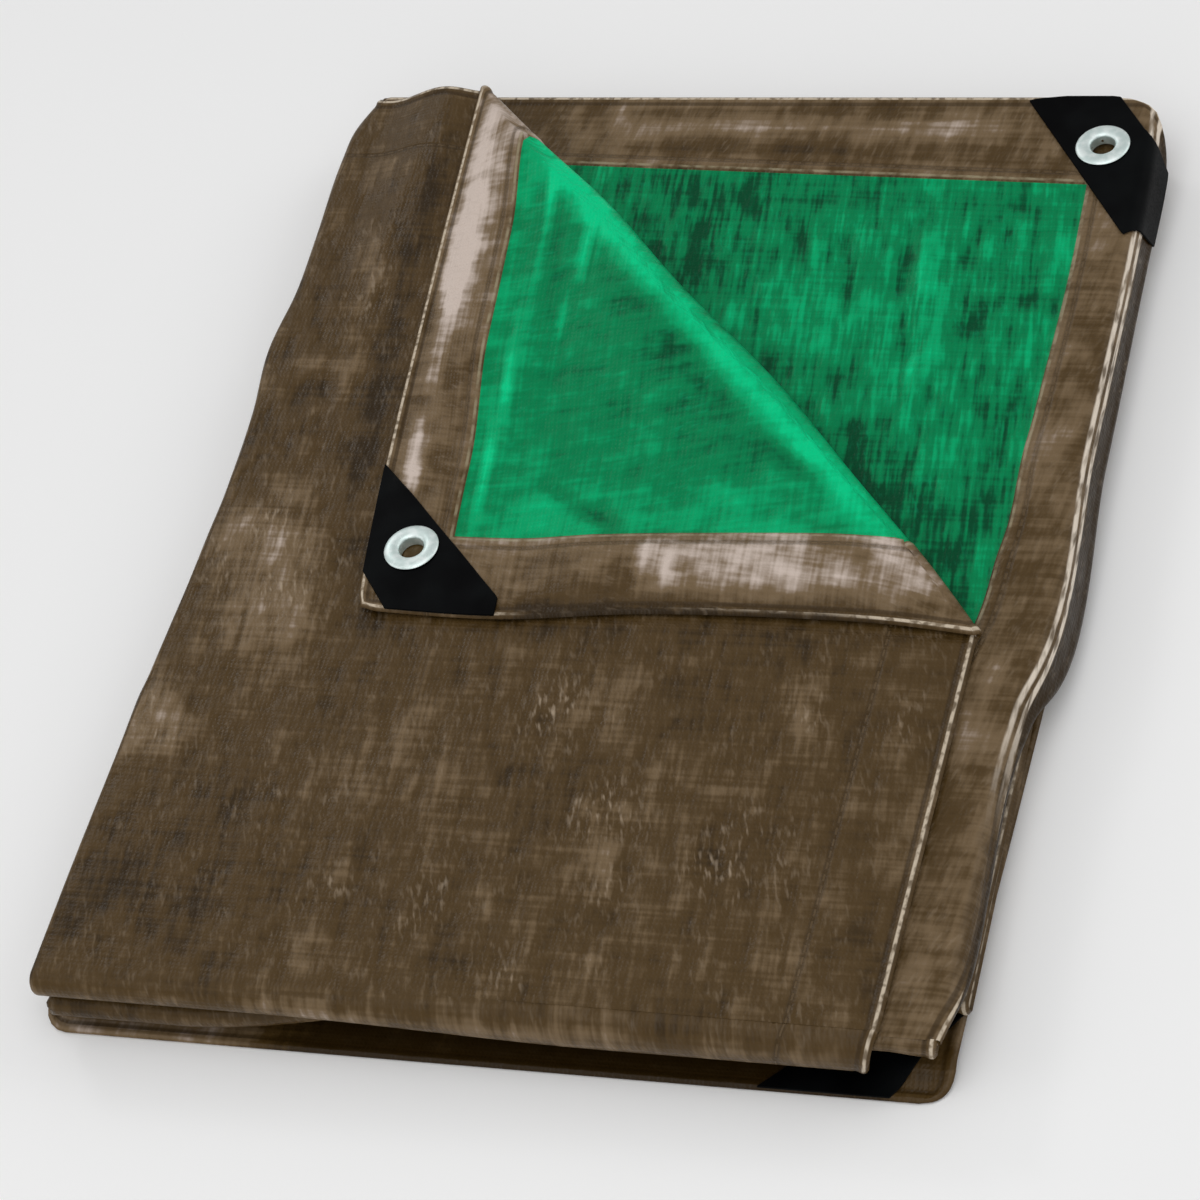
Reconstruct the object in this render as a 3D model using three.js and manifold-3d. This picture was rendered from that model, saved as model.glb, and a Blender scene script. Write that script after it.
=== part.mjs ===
// Folded poly tarp: a woven sheet, hemmed all round, doubled along a fold at its left,
// then folded back and forth in five panels. The back right corner of the top layer is
// turned back over the stack, so its green inner face shows.
// Millimetres. x runs from the left fold to the free edges, y from front to back, z up.
// While the pieces are made, x = 0, y = 0 is the packet's front left corner. The last
// lines move the origin to the middle of the underside.
import * as THREE from 'three';
import { mergeVertices } from 'three/addons/utils/BufferGeometryUtils.js';
import Module from 'manifold-3d';

// Driving sizes of the sheet
const SHEET_THICKNESS = 1.2;
const HEM_EXTRA = 0.5;
const HEM_WIDTH = 40;
const HEM_STEP = 0.8;
const PIECE_GAP = 0.3;

// Height of the middle of each layer, panel by panel. A is the outer half of the doubled
// sheet, whose right edge stops short, and B the inner half, whose hem shows beyond A.
// The upper layers lie loosely and the lower ones are pressed together.
const LAYERS_A = [34.4, 22.1, 18.9, 9.3, 5.6];
const LAYERS_B = [30.3, 26.2, 15.7, 12.5, 0.6];
const PANELS = LAYERS_A.length;

// Free ends and folds of the outer layer, measured from the front
const BACK_END_A = 494;
const BACK_END_B = 500;
const BACK_FOLD_AFTER = { 1: 488, 3: 485 };
const FRONT_FOLD_AFTER = {
  0: { left: -3.5, right: -3, from: 0, to: 352 },
  2: { left: -3.5, right: 28, from: 60, to: 240 },
};
const FRONT_END_A = 14;
const FRONT_END_B = { left: -4, right: -2.5 };

// The upper front fold sags towards the right, and its under side recovers behind it
const SAG = { depth: 8.8, shareOfB: 0.3, startX: 100, fullX: 240, recovery: 22 };

// Right edges of A and B, at both ends of each panel in turn
const EDGE_A = [352, 352, 344, 347, 349, 350, 347, 343, 341, 338];
const EDGE_B = [376, 374, 372, 372, 374, 378, 378.5, 370, 372, 375.5];

// Left fold of the top layers: how far it stands in, along the depth
const LEFT_EDGE = [
  // y, offset
  [-10, 0], [60, -0.6], [150, 0.2], [255, 2.2], [300, 0.4], [337, -3.8], [373, -1.2],
  [405, -2], [455, -3.9], [474, -3], [488, 1.5], [502, 7],
];
const LOWER_LEFT_INSET = 2.5;

// Right hem of the top B layer, bent down over the side of the stack: deep at the back
// and shallow in front of the kink
const SKIRT = [
  // y, x where the bend starts, drop angle in degrees, length past the bend
  [-10, 371, 0, 2], [14, 371.5, 30, 2.5], [34, 371.5, 56, 5], [150, 370, 62, 6],
  [166, 371, 66, 8], [184, 374.5, 74, 13], [300, 373, 76, 13.5], [430, 371, 78, 13],
  [470, 370, 72, 12], [502, 367, 60, 10],
];
const SKIRT_BEND_RADIUS = 5;
const BACK_CORNER_RADIUS = 30;
const END_CORNER_RADIUS = 12;

// The turned back corner: its crease runs from the back edge to the right edge
const CREASE_BACK = new THREE.Vector2(62, 490);
const CREASE_RIGHT = new THREE.Vector2(354, 194);
const FLAP_TIP = new THREE.Vector2(86, 191);
const CREASE_BOW = [
  // share of the crease, how far it bows out from the straight line
  [0, 0], [0.1, 2], [0.25, 6.4], [0.4, 5.6], [0.6, 8.2], [0.75, 5.6], [0.9, 3.4], [1, 0],
];
const FLAP_LEFT_BOW = 5.3;
const FLAP_FRONT_BOW = [
  // share of the front edge from the tip, how far it stands back
  [0, 0], [0.24, -2], [0.45, 3.4], [0.7, 4.8], [0.87, 3.6], [1, 0],
];
const FLAP_REST_GAP = 2.6;
const FLAP_SETTLE = 45;
const FLAP_TIP_ROUND = 5;

// The front hem of the turned corner stands up behind its edge, right of the patch
const FLAP_HEM_RISE = { height: 3, crest: 0.04, fall: 0.07, end: 0.2, from: 0.24, full: 0.36, until: 0.86 };
const ROLL_STEPS = 8;
const ROLL = [
  // share of the crease, radius of the roll there
  [0, 1.4], [0.15, 3], [0.35, 5.4], [0.6, 5], [0.85, 2.8], [1, 1.5],
];

// The top A layer rises to the back end of the crease
const HUMP = { height: 14.5, startY: 330, endY: 494, footX: 8, topX: 46, settle: 2.5, settledX: 64 };

// The bottom free corner at the front right rises behind its edge
const END_LIFT = { height: 6.2, footX: 341, topX: 362, edgeY: -1, crestY: 15, fallY: 60, endY: 170 };

// Beyond A's edge, the layers of B spread into the space that A leaves
const SPREAD = { startX: 354, endX: 368, rise: [0, -2, 1.6, 0, 0] };

// Patches sewn over the corners, as distances from the corner along its two edges
const PATCH_THICKNESS = 1;
const FLAP_PATCH = { tall: 78, wide: 62, tallCut: 19, wideCut: 13, side: 9 };
const BACK_PATCH = { inner: [[316, 502], [379, 417]], outer: [[359, 495], [376, 471]] };
const END_PATCH = { inner: [[300, -3], [375, 73]], outer: [[352, -3], [374, 31]] };

// Eyelets, each a rolled ring with a flange on both faces of the cloth
const EYELET = {
  outerRadius: 12,
  backRadius: 10.8,
  boreRadius: 5.5,
  barrelRadius: 6.4,
  flange: 0.8,
  crown: 0.5,
  sides: 32,
};
const FLAP_EYELET = new THREE.Vector2(101.6, 222.8);
const BACK_EYELET = new THREE.Vector2(353.5, 469);

// Grid lines. The top panel's rows behind the crease's right end are shares of the crease
const HEM_SHARE = 0.134;
const NEXT_TO_HEM = 0.138;
const CREASE_ROWS = [
  0, 0.012, 0.036, 0.08, HEM_SHARE, NEXT_TO_HEM, 0.22, 0.33, 0.45, 0.57, 0.68, 0.78,
  1 - NEXT_TO_HEM, 1 - HEM_SHARE, 0.93, 0.964, 1,
];
const TOP_ROWS_AHEAD = [183, 167, 150, 95, 40, 20];
const INNER_ROWS = [0.05, 0.35, 0.65, 0.95];
const ROWS_BEHIND_SAG = [5, 11, 17, 23];
const END_ROWS = [300, 190, 120, 74, HEM_WIDTH + HEM_STEP, HEM_WIDTH, 22, 12, 5, 1.2, 0];
const TURN_STEPS = 5;
const LEFT_FOLD_STEPS = 4;
const SHARES_ACROSS = [0.06, 0.2, 0.42, 0.66];
const HEM_SHARES_ACROSS = [0, 0.25, 0.5, 0.58, 0.68, 0.8, 1];

// Finishes
const FINISH = {
  sheet: { color: 0x5a4a34, roughness: 0.42, metalness: 0 },
  patch: { color: 0x0b0b0d, roughness: 0.5, metalness: 0 },
  eyelet: { color: 0xc3ccca, roughness: 0.3, metalness: 1 },
};

const mix = THREE.MathUtils.lerp;
const clamp = THREE.MathUtils.clamp;
const ramp = THREE.MathUtils.smoothstep;

// Reads a column of a table at a key between its rows, easing from row to row
function readTable(table, key, column = 1) {
  let row = 0;
  while (row < table.length - 2 && key > table[row + 1][0]) {
    row += 1;
  }
  const [near, far] = [table[row], table[row + 1]];
  const share = clamp((key - near[0]) / (far[0] - near[0]), 0, 1);
  return mix(near[column], far[column], share * share * (3 - 2 * share));
}

function humpAt(x, y) {
  const along = clamp((y - HUMP.startY) / (HUMP.endY - HUMP.startY), 0, 1.1);
  const rise = HUMP.height * ramp(x, HUMP.footX, HUMP.topX);
  const settle = HUMP.settle * ramp(x, HUMP.topX, HUMP.settledX);
  return (rise - settle) * (0.25 * along + 0.75 * along * along);
}

function endLiftAt(x, y) {
  const across = ramp(x, END_LIFT.footX, END_LIFT.topX);
  const rise = ramp(y, END_LIFT.edgeY, END_LIFT.crestY);
  return END_LIFT.height * across * rise * (1 - ramp(y, END_LIFT.fallY, END_LIFT.endY));
}

// Height of the middle of a layer at a fold, with the sag of the upper front fold
function heightAtTurn(half, panel, turn, x) {
  const layers = half === 'A' ? LAYERS_A : LAYERS_B;
  const sags = turn === 0 && panel === 1;
  return layers[panel] - (sags ? sagAt(half, x) : 0);
}

function sagAt(half, x) {
  return SAG.depth * ramp(x, SAG.startX, SAG.fullX) * (half === 'A' ? 1 : SAG.shareOfB);
}

// The turn after a panel: the line its arcs are centred on, and its radii on A and B
function turnAfter(panel, x) {
  const [radiusA, radiusB] = ['A', 'B'].map((half) => {
    return (heightAtTurn(half, panel, panel, x) - heightAtTurn(half, panel + 1, panel, x)) / 2;
  });
  const outer = Math.max(radiusA, radiusB);
  const front = FRONT_FOLD_AFTER[panel];
  if (front) {
    const line = mix(front.left, front.right, ramp(x, front.from, front.to));
    return { y: line + outer, sense: -1, radiusA, radiusB };
  }
  return { y: BACK_FOLD_AFTER[panel] - outer, sense: 1, radiusA, radiusB };
}

// The sheet's stations, from its free end on top to its free end below
function makeStations() {
  const stations = CREASE_ROWS.map((crease) => ({ panel: 0, crease, at: 0 }));
  TOP_ROWS_AHEAD.forEach((y) => stations.push({ panel: 0, y, at: 0 }));
  for (let panel = 0; panel < PANELS - 1; panel += 1) {
    if (panel === 1) {
      ROWS_BEHIND_SAG.forEach((behind) => stations.push({ panel, behind, at: 2 * panel }));
    }
    if (panel > 0) {
      const shares = panel === 1 ? INNER_ROWS.slice(1) : INNER_ROWS;
      shares.forEach((share) => stations.push({ panel, share, at: 2 * panel + share }));
    }
    for (let step = 0; step <= TURN_STEPS; step += 1) {
      const share = step / TURN_STEPS;
      stations.push({ turn: panel, angle: Math.PI * share, at: 2 * panel + 1 + share });
    }
  }
  END_ROWS.forEach((fromEnd) => stations.push({ panel: PANELS - 1, fromEnd, at: 2 * PANELS - 1 }));
  return stations;
}

// Point (y, z) of layer A or B at a station
function pathPoint(station, half, x) {
  const layers = half === 'A' ? LAYERS_A : LAYERS_B;
  const { panel } = station;
  if (station.turn !== undefined) {
    const turn = turnAfter(station.turn, x);
    const radius = half === 'A' ? turn.radiusA : turn.radiusB;
    const middle = heightAtTurn(half, station.turn, station.turn, x) - radius;
    return [
      turn.y + turn.sense * radius * Math.sin(station.angle),
      middle + radius * Math.cos(station.angle),
    ];
  }
  if (station.crease !== undefined) {
    const end = half === 'A' ? BACK_END_A : BACK_END_B;
    return [mix(end, CREASE_RIGHT.y, station.crease), layers[0]];
  }
  if (station.y !== undefined) {
    return [station.y, layers[0]];
  }
  if (station.behind !== undefined) {
    const recovered = ramp(station.behind, 0, SAG.recovery);
    return [turnAfter(0, x).y + station.behind, layers[panel] - sagAt(half, x) * (1 - recovered)];
  }
  if (station.share !== undefined) {
    return [mix(turnAfter(panel - 1, x).y, turnAfter(panel, x).y, station.share), layers[panel]];
  }
  const endB = mix(FRONT_END_B.left, FRONT_END_B.right, x / EDGE_B[0]);
  const end = half === 'A' ? FRONT_END_A : endB;
  return [end + station.fromEnd, layers[panel]];
}

// Reads a list of right edges at a station
function edgeAt(edges, station) {
  const whole = Math.min(Math.floor(station.at), edges.length - 2);
  return mix(edges[whole], edges[whole + 1], station.at - whole);
}

function leftEdgeAt(y, z) {
  const top = ramp(z, 20, 25);
  return mix(LOWER_LEFT_INSET + 1.2 * Math.sin(y / 60 + z), readTable(LEFT_EDGE, y), top);
}

// Crease of the turned back corner: the line where the roll leaves and rejoins the flat
function creaseBase(share) {
  const line = CREASE_BACK.clone().lerp(CREASE_RIGHT, share);
  const along = CREASE_RIGHT.clone().sub(CREASE_BACK).normalize();
  const out = new THREE.Vector2(-along.y, along.x);
  const radius = readTable(ROLL, share);
  line.addScaledVector(out, readTable(CREASE_BOW, share) - radius - SHEET_THICKNESS / 2);
  return { line, out, radius };
}

// Point of layer A at a share of its width, 1 at its right edge or at the crease
function pointA(station, share) {
  const [yLeft, z] = pathPoint(station, 'A', 0);
  const left = leftEdgeAt(yLeft, z) + SHEET_THICKNESS / 2;
  if (station.crease !== undefined) {
    const { line } = creaseBase(station.crease);
    const x = mix(left + (LAYERS_A[0] - LAYERS_B[0]) / 2, line.x, share);
    const y = mix(yLeft, line.y, ramp(share, 0, 1));
    return new THREE.Vector3(x, y, z + humpAt(x, y));
  }
  const x = mix(left + 2, edgeAt(EDGE_A, station), share);
  const [y, height] = pathPoint(station, 'A', x);
  return new THREE.Vector3(x, y, height + (station.panel === 0 ? humpAt(x, y) : 0));
}

// Bend of layer B's right hem at a station, and the width of the cloth up to its edge
function skirtAt(station, y) {
  if (station.panel !== 0) {
    const edge = edgeAt(EDGE_B, station);
    return { start: edge, angle: 0, width: edge };
  }
  const start = readTable(SKIRT, y, 1);
  const angle = THREE.MathUtils.degToRad(readTable(SKIRT, y, 2));
  return { start, angle, width: start + SKIRT_BEND_RADIUS * angle + readTable(SKIRT, y, 3) };
}

// How much a rounded corner takes off the width, near the end of a layer
function cornerTrim(radius, fromEnd) {
  const reach = Math.max(radius - fromEnd, 0);
  return radius - Math.sqrt(radius * radius - reach * reach);
}

// Point of layer B at a share of its body, or at a share of its right hem
function pointB(station, share, inHem) {
  const [yLeft, zLeft] = pathPoint(station, 'B', 0);
  const left = leftEdgeAt(pathPoint(station, 'A', 0)[0], zLeft) + SHEET_THICKNESS / 2 + 2;
  const skirt = skirtAt(station, yLeft);
  const hemStart = skirt.width - HEM_WIDTH;
  let width = mix(left, hemStart - HEM_STEP, share);
  if (inHem) {
    let edge = skirt.width;
    if (station.crease !== undefined) {
      edge -= cornerTrim(BACK_CORNER_RADIUS, BACK_END_B - yLeft);
    }
    if (station.fromEnd !== undefined) {
      edge -= cornerTrim(END_CORNER_RADIUS, station.fromEnd);
    }
    width = mix(hemStart, edge, share);
  }
  const past = Math.max(width - skirt.start, 0);
  const turned = Math.min(past / SKIRT_BEND_RADIUS, skirt.angle);
  const straight = past - turned * SKIRT_BEND_RADIUS;
  const reach = SKIRT_BEND_RADIUS * Math.sin(turned) + straight * Math.cos(skirt.angle);
  const x = Math.min(width, skirt.start) + reach;
  const drop = SKIRT_BEND_RADIUS * (1 - Math.cos(turned)) + straight * Math.sin(skirt.angle);
  const [y, height] = pathPoint(station, 'B', x);
  return new THREE.Vector3(x, y, height - drop + risenB(station, x, y));
}

// Spread of the layers of B beyond A's edge, and the lift of the bottom corner
function risenB(station, x, y) {
  const beyond = ramp(x, SPREAD.startX, SPREAD.endX);
  if (station.turn !== undefined) {
    const over = (1 + Math.cos(station.angle)) / 2;
    return beyond * mix(SPREAD.rise[station.turn + 1], SPREAD.rise[station.turn], over);
  }
  const lift = station.panel === PANELS - 1 ? endLiftAt(x, y) : 0;
  return lift + beyond * SPREAD.rise[station.panel];
}

// One section of the doubled sheet, from A's right edge round the left fold to B's
function makeSection(station) {
  const hemA = 1 - HEM_WIDTH / EDGE_A[0];
  const nextA = hemA - HEM_STEP / EDGE_A[0];
  const backHem = station.crease !== undefined && station.crease <= HEM_SHARE;
  const frontHem = station.fromEnd !== undefined && station.fromEnd <= HEM_WIDTH;
  const endHem = backHem || frontHem;
  const rightHemA = endHem || !(station.crease < 1);
  const inward = [...SHARES_ACROSS].reverse();
  const points = [
    { at: pointA(station, 1), hem: rightHemA },
    { at: pointA(station, hemA), hem: rightHemA },
    ...[nextA, ...inward, 0].map((share) => ({ at: pointA(station, share), hem: endHem })),
  ];
  const top = pointA(station, 0);
  const low = pointB(station, 0, false);
  const middle = top.clone().add(low).multiplyScalar(0.5);
  const half = top.clone().sub(low).multiplyScalar(0.5);
  for (let step = 1; step < LEFT_FOLD_STEPS; step += 1) {
    const angle = (Math.PI * step) / LEFT_FOLD_STEPS;
    const at = middle.clone().addScaledVector(half, Math.cos(angle));
    at.x -= half.length() * Math.sin(angle);
    points.push({ at, hem: endHem });
  }
  const place = (share, inHem) => points.push({ at: pointB(station, share, inHem), hem: inHem || endHem });
  [0, ...SHARES_ACROSS, 1].forEach((share) => place(share, false));
  HEM_SHARES_ACROSS.forEach((share) => place(share, true));
  return points;
}

// Mid-surface of the whole sheet: its points, and triangles whose outer side is brown
function makeSheetSurface() {
  const stations = makeStations();
  const sections = stations.map(makeSection);
  const columns = sections[0].length;
  const points = sections.flat();
  const faces = [];
  const cell = (a, b, c, d) => faces.push([a, b, c], [a, c, d]);
  for (let row = 0; row < sections.length - 1; row += 1) {
    for (let column = 0; column < columns - 1; column += 1) {
      const corner = row * columns + column;
      cell(corner, corner + 1, corner + columns + 1, corner + columns);
    }
  }
  addTurnedCorner(points, cell, faces, columns);
  return { points, faces, columns, rows: stations.length };
}

// The roll along the crease and the turned back corner, joined on to the top A layer
function addTurnedCorner(points, cell, faces, columns) {
  const last = CREASE_ROWS.length - 1;
  let previous = CREASE_ROWS.map((share, row) => row * columns);
  for (let step = 1; step <= ROLL_STEPS; step += 1) {
    const angle = -Math.PI / 2 + (Math.PI * step) / ROLL_STEPS;
    const add = (share) => points.push({ at: rollPoint(share, angle), hem: inFlapHem(share) }) - 1;
    const current = CREASE_ROWS.map(add);
    for (let row = 0; row < last; row += 1) {
      cell(current[row], previous[row], previous[row + 1], current[row + 1]);
    }
    previous = current;
  }
  const index = [];
  for (let i = 0; i <= last; i += 1) {
    index.push([]);
    for (let j = 0; j <= last - i; j += 1) {
      const onCrease = i + j === last;
      const point = flapPoint(1 - CREASE_ROWS[last - i], CREASE_ROWS[j]);
      index[i].push(onCrease ? previous[j] : points.push(point) - 1);
    }
  }
  for (let i = 0; i < last; i += 1) {
    for (let j = 0; j < last - i; j += 1) {
      faces.push([index[i][j], index[i + 1][j], index[i][j + 1]]);
      if (i + j < last - 1) {
        faces.push([index[i + 1][j], index[i + 1][j + 1], index[i][j + 1]]);
      }
    }
  }
}

const inFlapHem = (share) => share <= HEM_SHARE || share >= 1 - HEM_SHARE;

function rollPoint(share, angle) {
  const { line, out, radius } = creaseBase(share);
  const base = LAYERS_A[0] + humpAt(line.x, line.y);
  line.addScaledVector(out, radius * Math.cos(angle));
  return new THREE.Vector3(line.x, line.y, base + radius * (1 + Math.sin(angle)));
}

// Point of the turned back corner, by shares towards the crease's back and right ends
function flapPoint(toBack, toRight) {
  const total = toBack + toRight;
  const share = total > 0 ? toRight / total : 0.5;
  const { line, radius } = creaseBase(share);
  const straight = CREASE_BACK.clone().lerp(CREASE_RIGHT, share);
  const at = FLAP_TIP.clone();
  at.addScaledVector(CREASE_BACK.clone().sub(FLAP_TIP), toBack);
  at.addScaledVector(CREASE_RIGHT.clone().sub(FLAP_TIP), toRight);
  at.addScaledVector(line.clone().sub(straight), total * total);
  at.x -= FLAP_LEFT_BOW * 4 * toBack * (1 - toBack) * (1 - toRight) ** 3;
  at.y += readTable(FLAP_FRONT_BOW, toRight) * (1 - toBack) ** 3;
  if (total === 0) {
    at.addScalar(FLAP_TIP_ROUND * (1 - Math.SQRT1_2));
  }
  const depth = distanceToCrease(FLAP_TIP) * (1 - total);
  const settled = Math.exp(-((depth / FLAP_SETTLE) ** 2));
  const lay = mix(FLAP_REST_GAP, Math.max(2 * radius, FLAP_REST_GAP), settled);
  const z = LAYERS_A[0] + humpAt(at.x, at.y) + lay + hemRiseAt(toBack, toRight);
  return { at: new THREE.Vector3(at.x, at.y, z), hem: toRight <= HEM_SHARE || toBack <= HEM_SHARE };
}

function hemRiseAt(toBack, toRight) {
  const rise = FLAP_HEM_RISE;
  const along = ramp(toRight, rise.from, rise.full) * (1 - ramp(toRight + toBack, rise.until, 1));
  return rise.height * along * (ramp(toBack, 0, rise.crest) - ramp(toBack, rise.fall, rise.end));
}

function distanceToCrease(point) {
  const along = CREASE_RIGHT.clone().sub(CREASE_BACK).normalize();
  return Math.abs(point.clone().sub(CREASE_BACK).cross(along));
}

// Unit normals of a surface's points, averaged over the faces around each
function surfaceNormals(points, faces) {
  const normals = points.map(() => new THREE.Vector3());
  for (const [a, b, c] of faces) {
    const first = points[b].at.clone().sub(points[a].at);
    const normal = first.cross(points[c].at.clone().sub(points[a].at));
    [a, b, c].forEach((corner) => normals[corner].add(normal));
  }
  return normals.map((normal) => normal.normalize());
}

// Closed solid between two offsets of a surface, one for each side
function thicken(points, faces, normals, outer, inner) {
  const position = [];
  const place = (offset) => points.forEach((point, k) => {
    position.push(...point.at.clone().addScaledVector(normals[k], offset(point)).toArray());
  });
  place(outer);
  place(inner);
  const count = points.length;
  const index = [];
  const open = new Map();
  for (const [a, b, c] of faces) {
    index.push(a, b, c, a + count, c + count, b + count);
    for (const [from, to] of [[a, b], [b, c], [c, a]]) {
      const back = `${to}_${from}`;
      if (!open.delete(back)) {
        open.set(`${from}_${to}`, [from, to]);
      }
    }
  }
  for (const [from, to] of open.values()) {
    index.push(to, from, from + count, to, from + count, to + count);
  }
  const geometry = new THREE.BufferGeometry();
  geometry.setAttribute('position', new THREE.Float32BufferAttribute(position, 3));
  geometry.setIndex(index);
  return geometry;
}

// Joins and cuts
const wasm = await Module();
wasm.setup();

function toSolid(geometry) {
  const bare = geometry.clone();
  bare.deleteAttribute('normal');
  bare.deleteAttribute('uv');
  const merged = mergeVertices(bare, 1e-4);
  return new wasm.Manifold(new wasm.Mesh({
    numProp: 3,
    vertProperties: new Float32Array(merged.attributes.position.array),
    triVerts: new Uint32Array(merged.index.array),
  }));
}

function toGeometry(solid) {
  const mesh = solid.getMesh();
  const geometry = new THREE.BufferGeometry();
  geometry.setAttribute('position', new THREE.BufferAttribute(mesh.vertProperties, 3));
  geometry.setIndex(new THREE.BufferAttribute(mesh.triVerts, 1));
  return geometry;
}

// Upright prism over an outline, and upright cylinder
function prism(outline, low, high) {
  const shape = new THREE.Shape(outline.map(([x, y]) => new THREE.Vector2(x, y)));
  return new THREE.ExtrudeGeometry(shape, { depth: high - low, bevelEnabled: false }).translate(0, 0, low);
}

function drill(center, radius, low, high) {
  const cylinder = new THREE.CylinderGeometry(radius, radius, high - low, EYELET.sides);
  return cylinder.rotateX(Math.PI / 2).translate(center.x, center.y, (low + high) / 2);
}

const sheet = makeSheetSurface();
const sheetNormals = surfaceNormals(sheet.points, sheet.faces);
const HALF = SHEET_THICKNESS / 2;

// Faces of the flat cloth at the turned corner and under the two other patches
const FLAP_BACK = LAYERS_A[0] + FLAP_REST_GAP - HALF;
const FLAP_FACE = LAYERS_A[0] + FLAP_REST_GAP + HALF + HEM_EXTRA;
const BACK_BACK = LAYERS_B[0] - HALF;
const BACK_FACE = LAYERS_B[0] + HALF + HEM_EXTRA;

// The tarp, with a hole for each eyelet
function makeTarp() {
  const greenSide = (point) => -HALF - (point.hem ? HEM_EXTRA : 0);
  const cloth = toSolid(thicken(sheet.points, sheet.faces, sheetNormals, () => HALF, greenSide));
  const hole = EYELET.barrelRadius + PIECE_GAP;
  const flapHole = toSolid(drill(FLAP_EYELET, hole, FLAP_BACK - 0.7, FLAP_FACE + 3));
  const backHole = toSolid(drill(BACK_EYELET, hole, BACK_BACK - 1, BACK_FACE + 3));
  return toGeometry(cloth.subtract(flapHole).subtract(backHole));
}

// Flat patch on the turned corner
function makeFlapPatch() {
  const tall = CREASE_BACK.clone().sub(FLAP_TIP).normalize();
  const wide = CREASE_RIGHT.clone().sub(FLAP_TIP).normalize();
  const along = (way, distance) => FLAP_TIP.clone().addScaledVector(way, distance).toArray();
  const outline = [
    along(wide, FLAP_PATCH.wideCut), along(wide, FLAP_PATCH.wide),
    new THREE.Vector2(...along(wide, FLAP_PATCH.wide)).addScaledVector(tall, FLAP_PATCH.side).toArray(),
    along(tall, FLAP_PATCH.tall), along(tall, FLAP_PATCH.tallCut),
  ];
  const low = FLAP_FACE + PIECE_GAP;
  const plate = toSolid(prism(outline, low, low + PATCH_THICKNESS));
  const hole = drill(FLAP_EYELET, EYELET.barrelRadius + PIECE_GAP, low - 1, low + 3);
  return toGeometry(plate.subtract(toSolid(hole)));
}

// Patch that follows layer B between two rows, cut to a band across the corner
function makeFollowingPatch([firstRow, lastRow], band, hole) {
  const firstColumn = sheet.columns - HEM_SHARES_ACROSS.length - 2;
  const inside = (k) => {
    const row = Math.floor(k / sheet.columns);
    return k < sheet.rows * sheet.columns && row >= firstRow && row <= lastRow
      && k % sheet.columns >= firstColumn;
  };
  const faces = sheet.faces.filter((face) => face.every(inside));
  const used = [...new Set(faces.flat())];
  const renumber = new Map(used.map((k, position) => [k, position]));
  const points = used.map((k) => sheet.points[k]);
  const normals = used.map((k) => sheetNormals[k]);
  const near = -HALF - HEM_EXTRA - PIECE_GAP;
  const slab = thicken(
    points,
    faces.map((face) => face.map((k) => renumber.get(k))),
    normals,
    () => near,
    () => near - PATCH_THICKNESS,
  );
  let patch = toSolid(slab).intersect(toSolid(bandPrism(band)));
  if (hole) {
    patch = patch.subtract(toSolid(drill(hole, EYELET.barrelRadius + PIECE_GAP, -10, 60)));
  }
  return toGeometry(patch);
}

// Prism between the inner and the outer line of a patch, both carried on past their ends
function bandPrism(band) {
  const carried = ([[x1, y1], [x2, y2]], by) => {
    const way = new THREE.Vector2(x2 - x1, y2 - y1).normalize().multiplyScalar(by);
    return [[x1 - way.x, y1 - way.y], [x2 + way.x, y2 + way.y]];
  };
  const inner = carried(band.inner, 20);
  const outer = carried(band.outer, 60);
  return prism([inner[0], inner[1], outer[1], outer[0]], -10, 60);
}

// Ring of one eyelet, from the faces of what it clamps
function makeEyelet(center, back, face) {
  const low = back - PIECE_GAP;
  const high = face + PIECE_GAP;
  const profile = [
    [EYELET.boreRadius, low - EYELET.flange],
    [EYELET.backRadius - 0.4, low - EYELET.flange],
    [EYELET.backRadius, low - EYELET.flange / 2],
    [EYELET.backRadius - 0.4, low],
    [EYELET.barrelRadius, low],
    [EYELET.barrelRadius, high],
    [EYELET.outerRadius - 0.3, high],
    [EYELET.outerRadius, high + EYELET.flange / 3],
    [EYELET.outerRadius - 1.6, high + EYELET.flange + EYELET.crown * 0.6],
    [EYELET.boreRadius + 2.6, high + EYELET.flange + EYELET.crown],
    [EYELET.boreRadius + 0.6, high + EYELET.flange * 0.9],
    [EYELET.boreRadius, high + EYELET.flange * 0.3],
    [EYELET.boreRadius, low - EYELET.flange],
  ].map(([radius, z]) => new THREE.Vector2(radius, z));
  const ring = toSolid(new THREE.LatheGeometry(profile, EYELET.sides));
  return toGeometry(ring).rotateX(Math.PI / 2).translate(center.x, center.y, 0);
}

const BACK_PATCH_ROWS = [0, 8];
const END_PATCH_ROWS = [sheet.rows - END_ROWS.length + 2, sheet.rows - 1];

const pieces = {
  tarp: [makeTarp(), FINISH.sheet],
  flap_patch: [makeFlapPatch(), FINISH.patch],
  back_patch: [makeFollowingPatch(BACK_PATCH_ROWS, BACK_PATCH, BACK_EYELET), FINISH.patch],
  end_patch: [makeFollowingPatch(END_PATCH_ROWS, END_PATCH), FINISH.patch],
  flap_eyelet: [makeEyelet(FLAP_EYELET, FLAP_BACK, FLAP_FACE + PIECE_GAP + PATCH_THICKNESS), FINISH.eyelet],
  back_eyelet: [makeEyelet(BACK_EYELET, BACK_BACK, BACK_FACE + PIECE_GAP + PATCH_THICKNESS), FINISH.eyelet],
};

const tarp = new THREE.Group();
for (const [name, [geometry, finish]] of Object.entries(pieces)) {
  const mesh = new THREE.Mesh(geometry, new THREE.MeshStandardMaterial(finish));
  mesh.name = name;
  tarp.add(mesh);
}

// Origin in the middle of the underside
const whole = new THREE.Box3().setFromObject(tarp);
const middle = whole.getCenter(new THREE.Vector3());
tarp.position.set(-middle.x, -middle.y, 0);

export default tarp;
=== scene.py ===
import math

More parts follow.
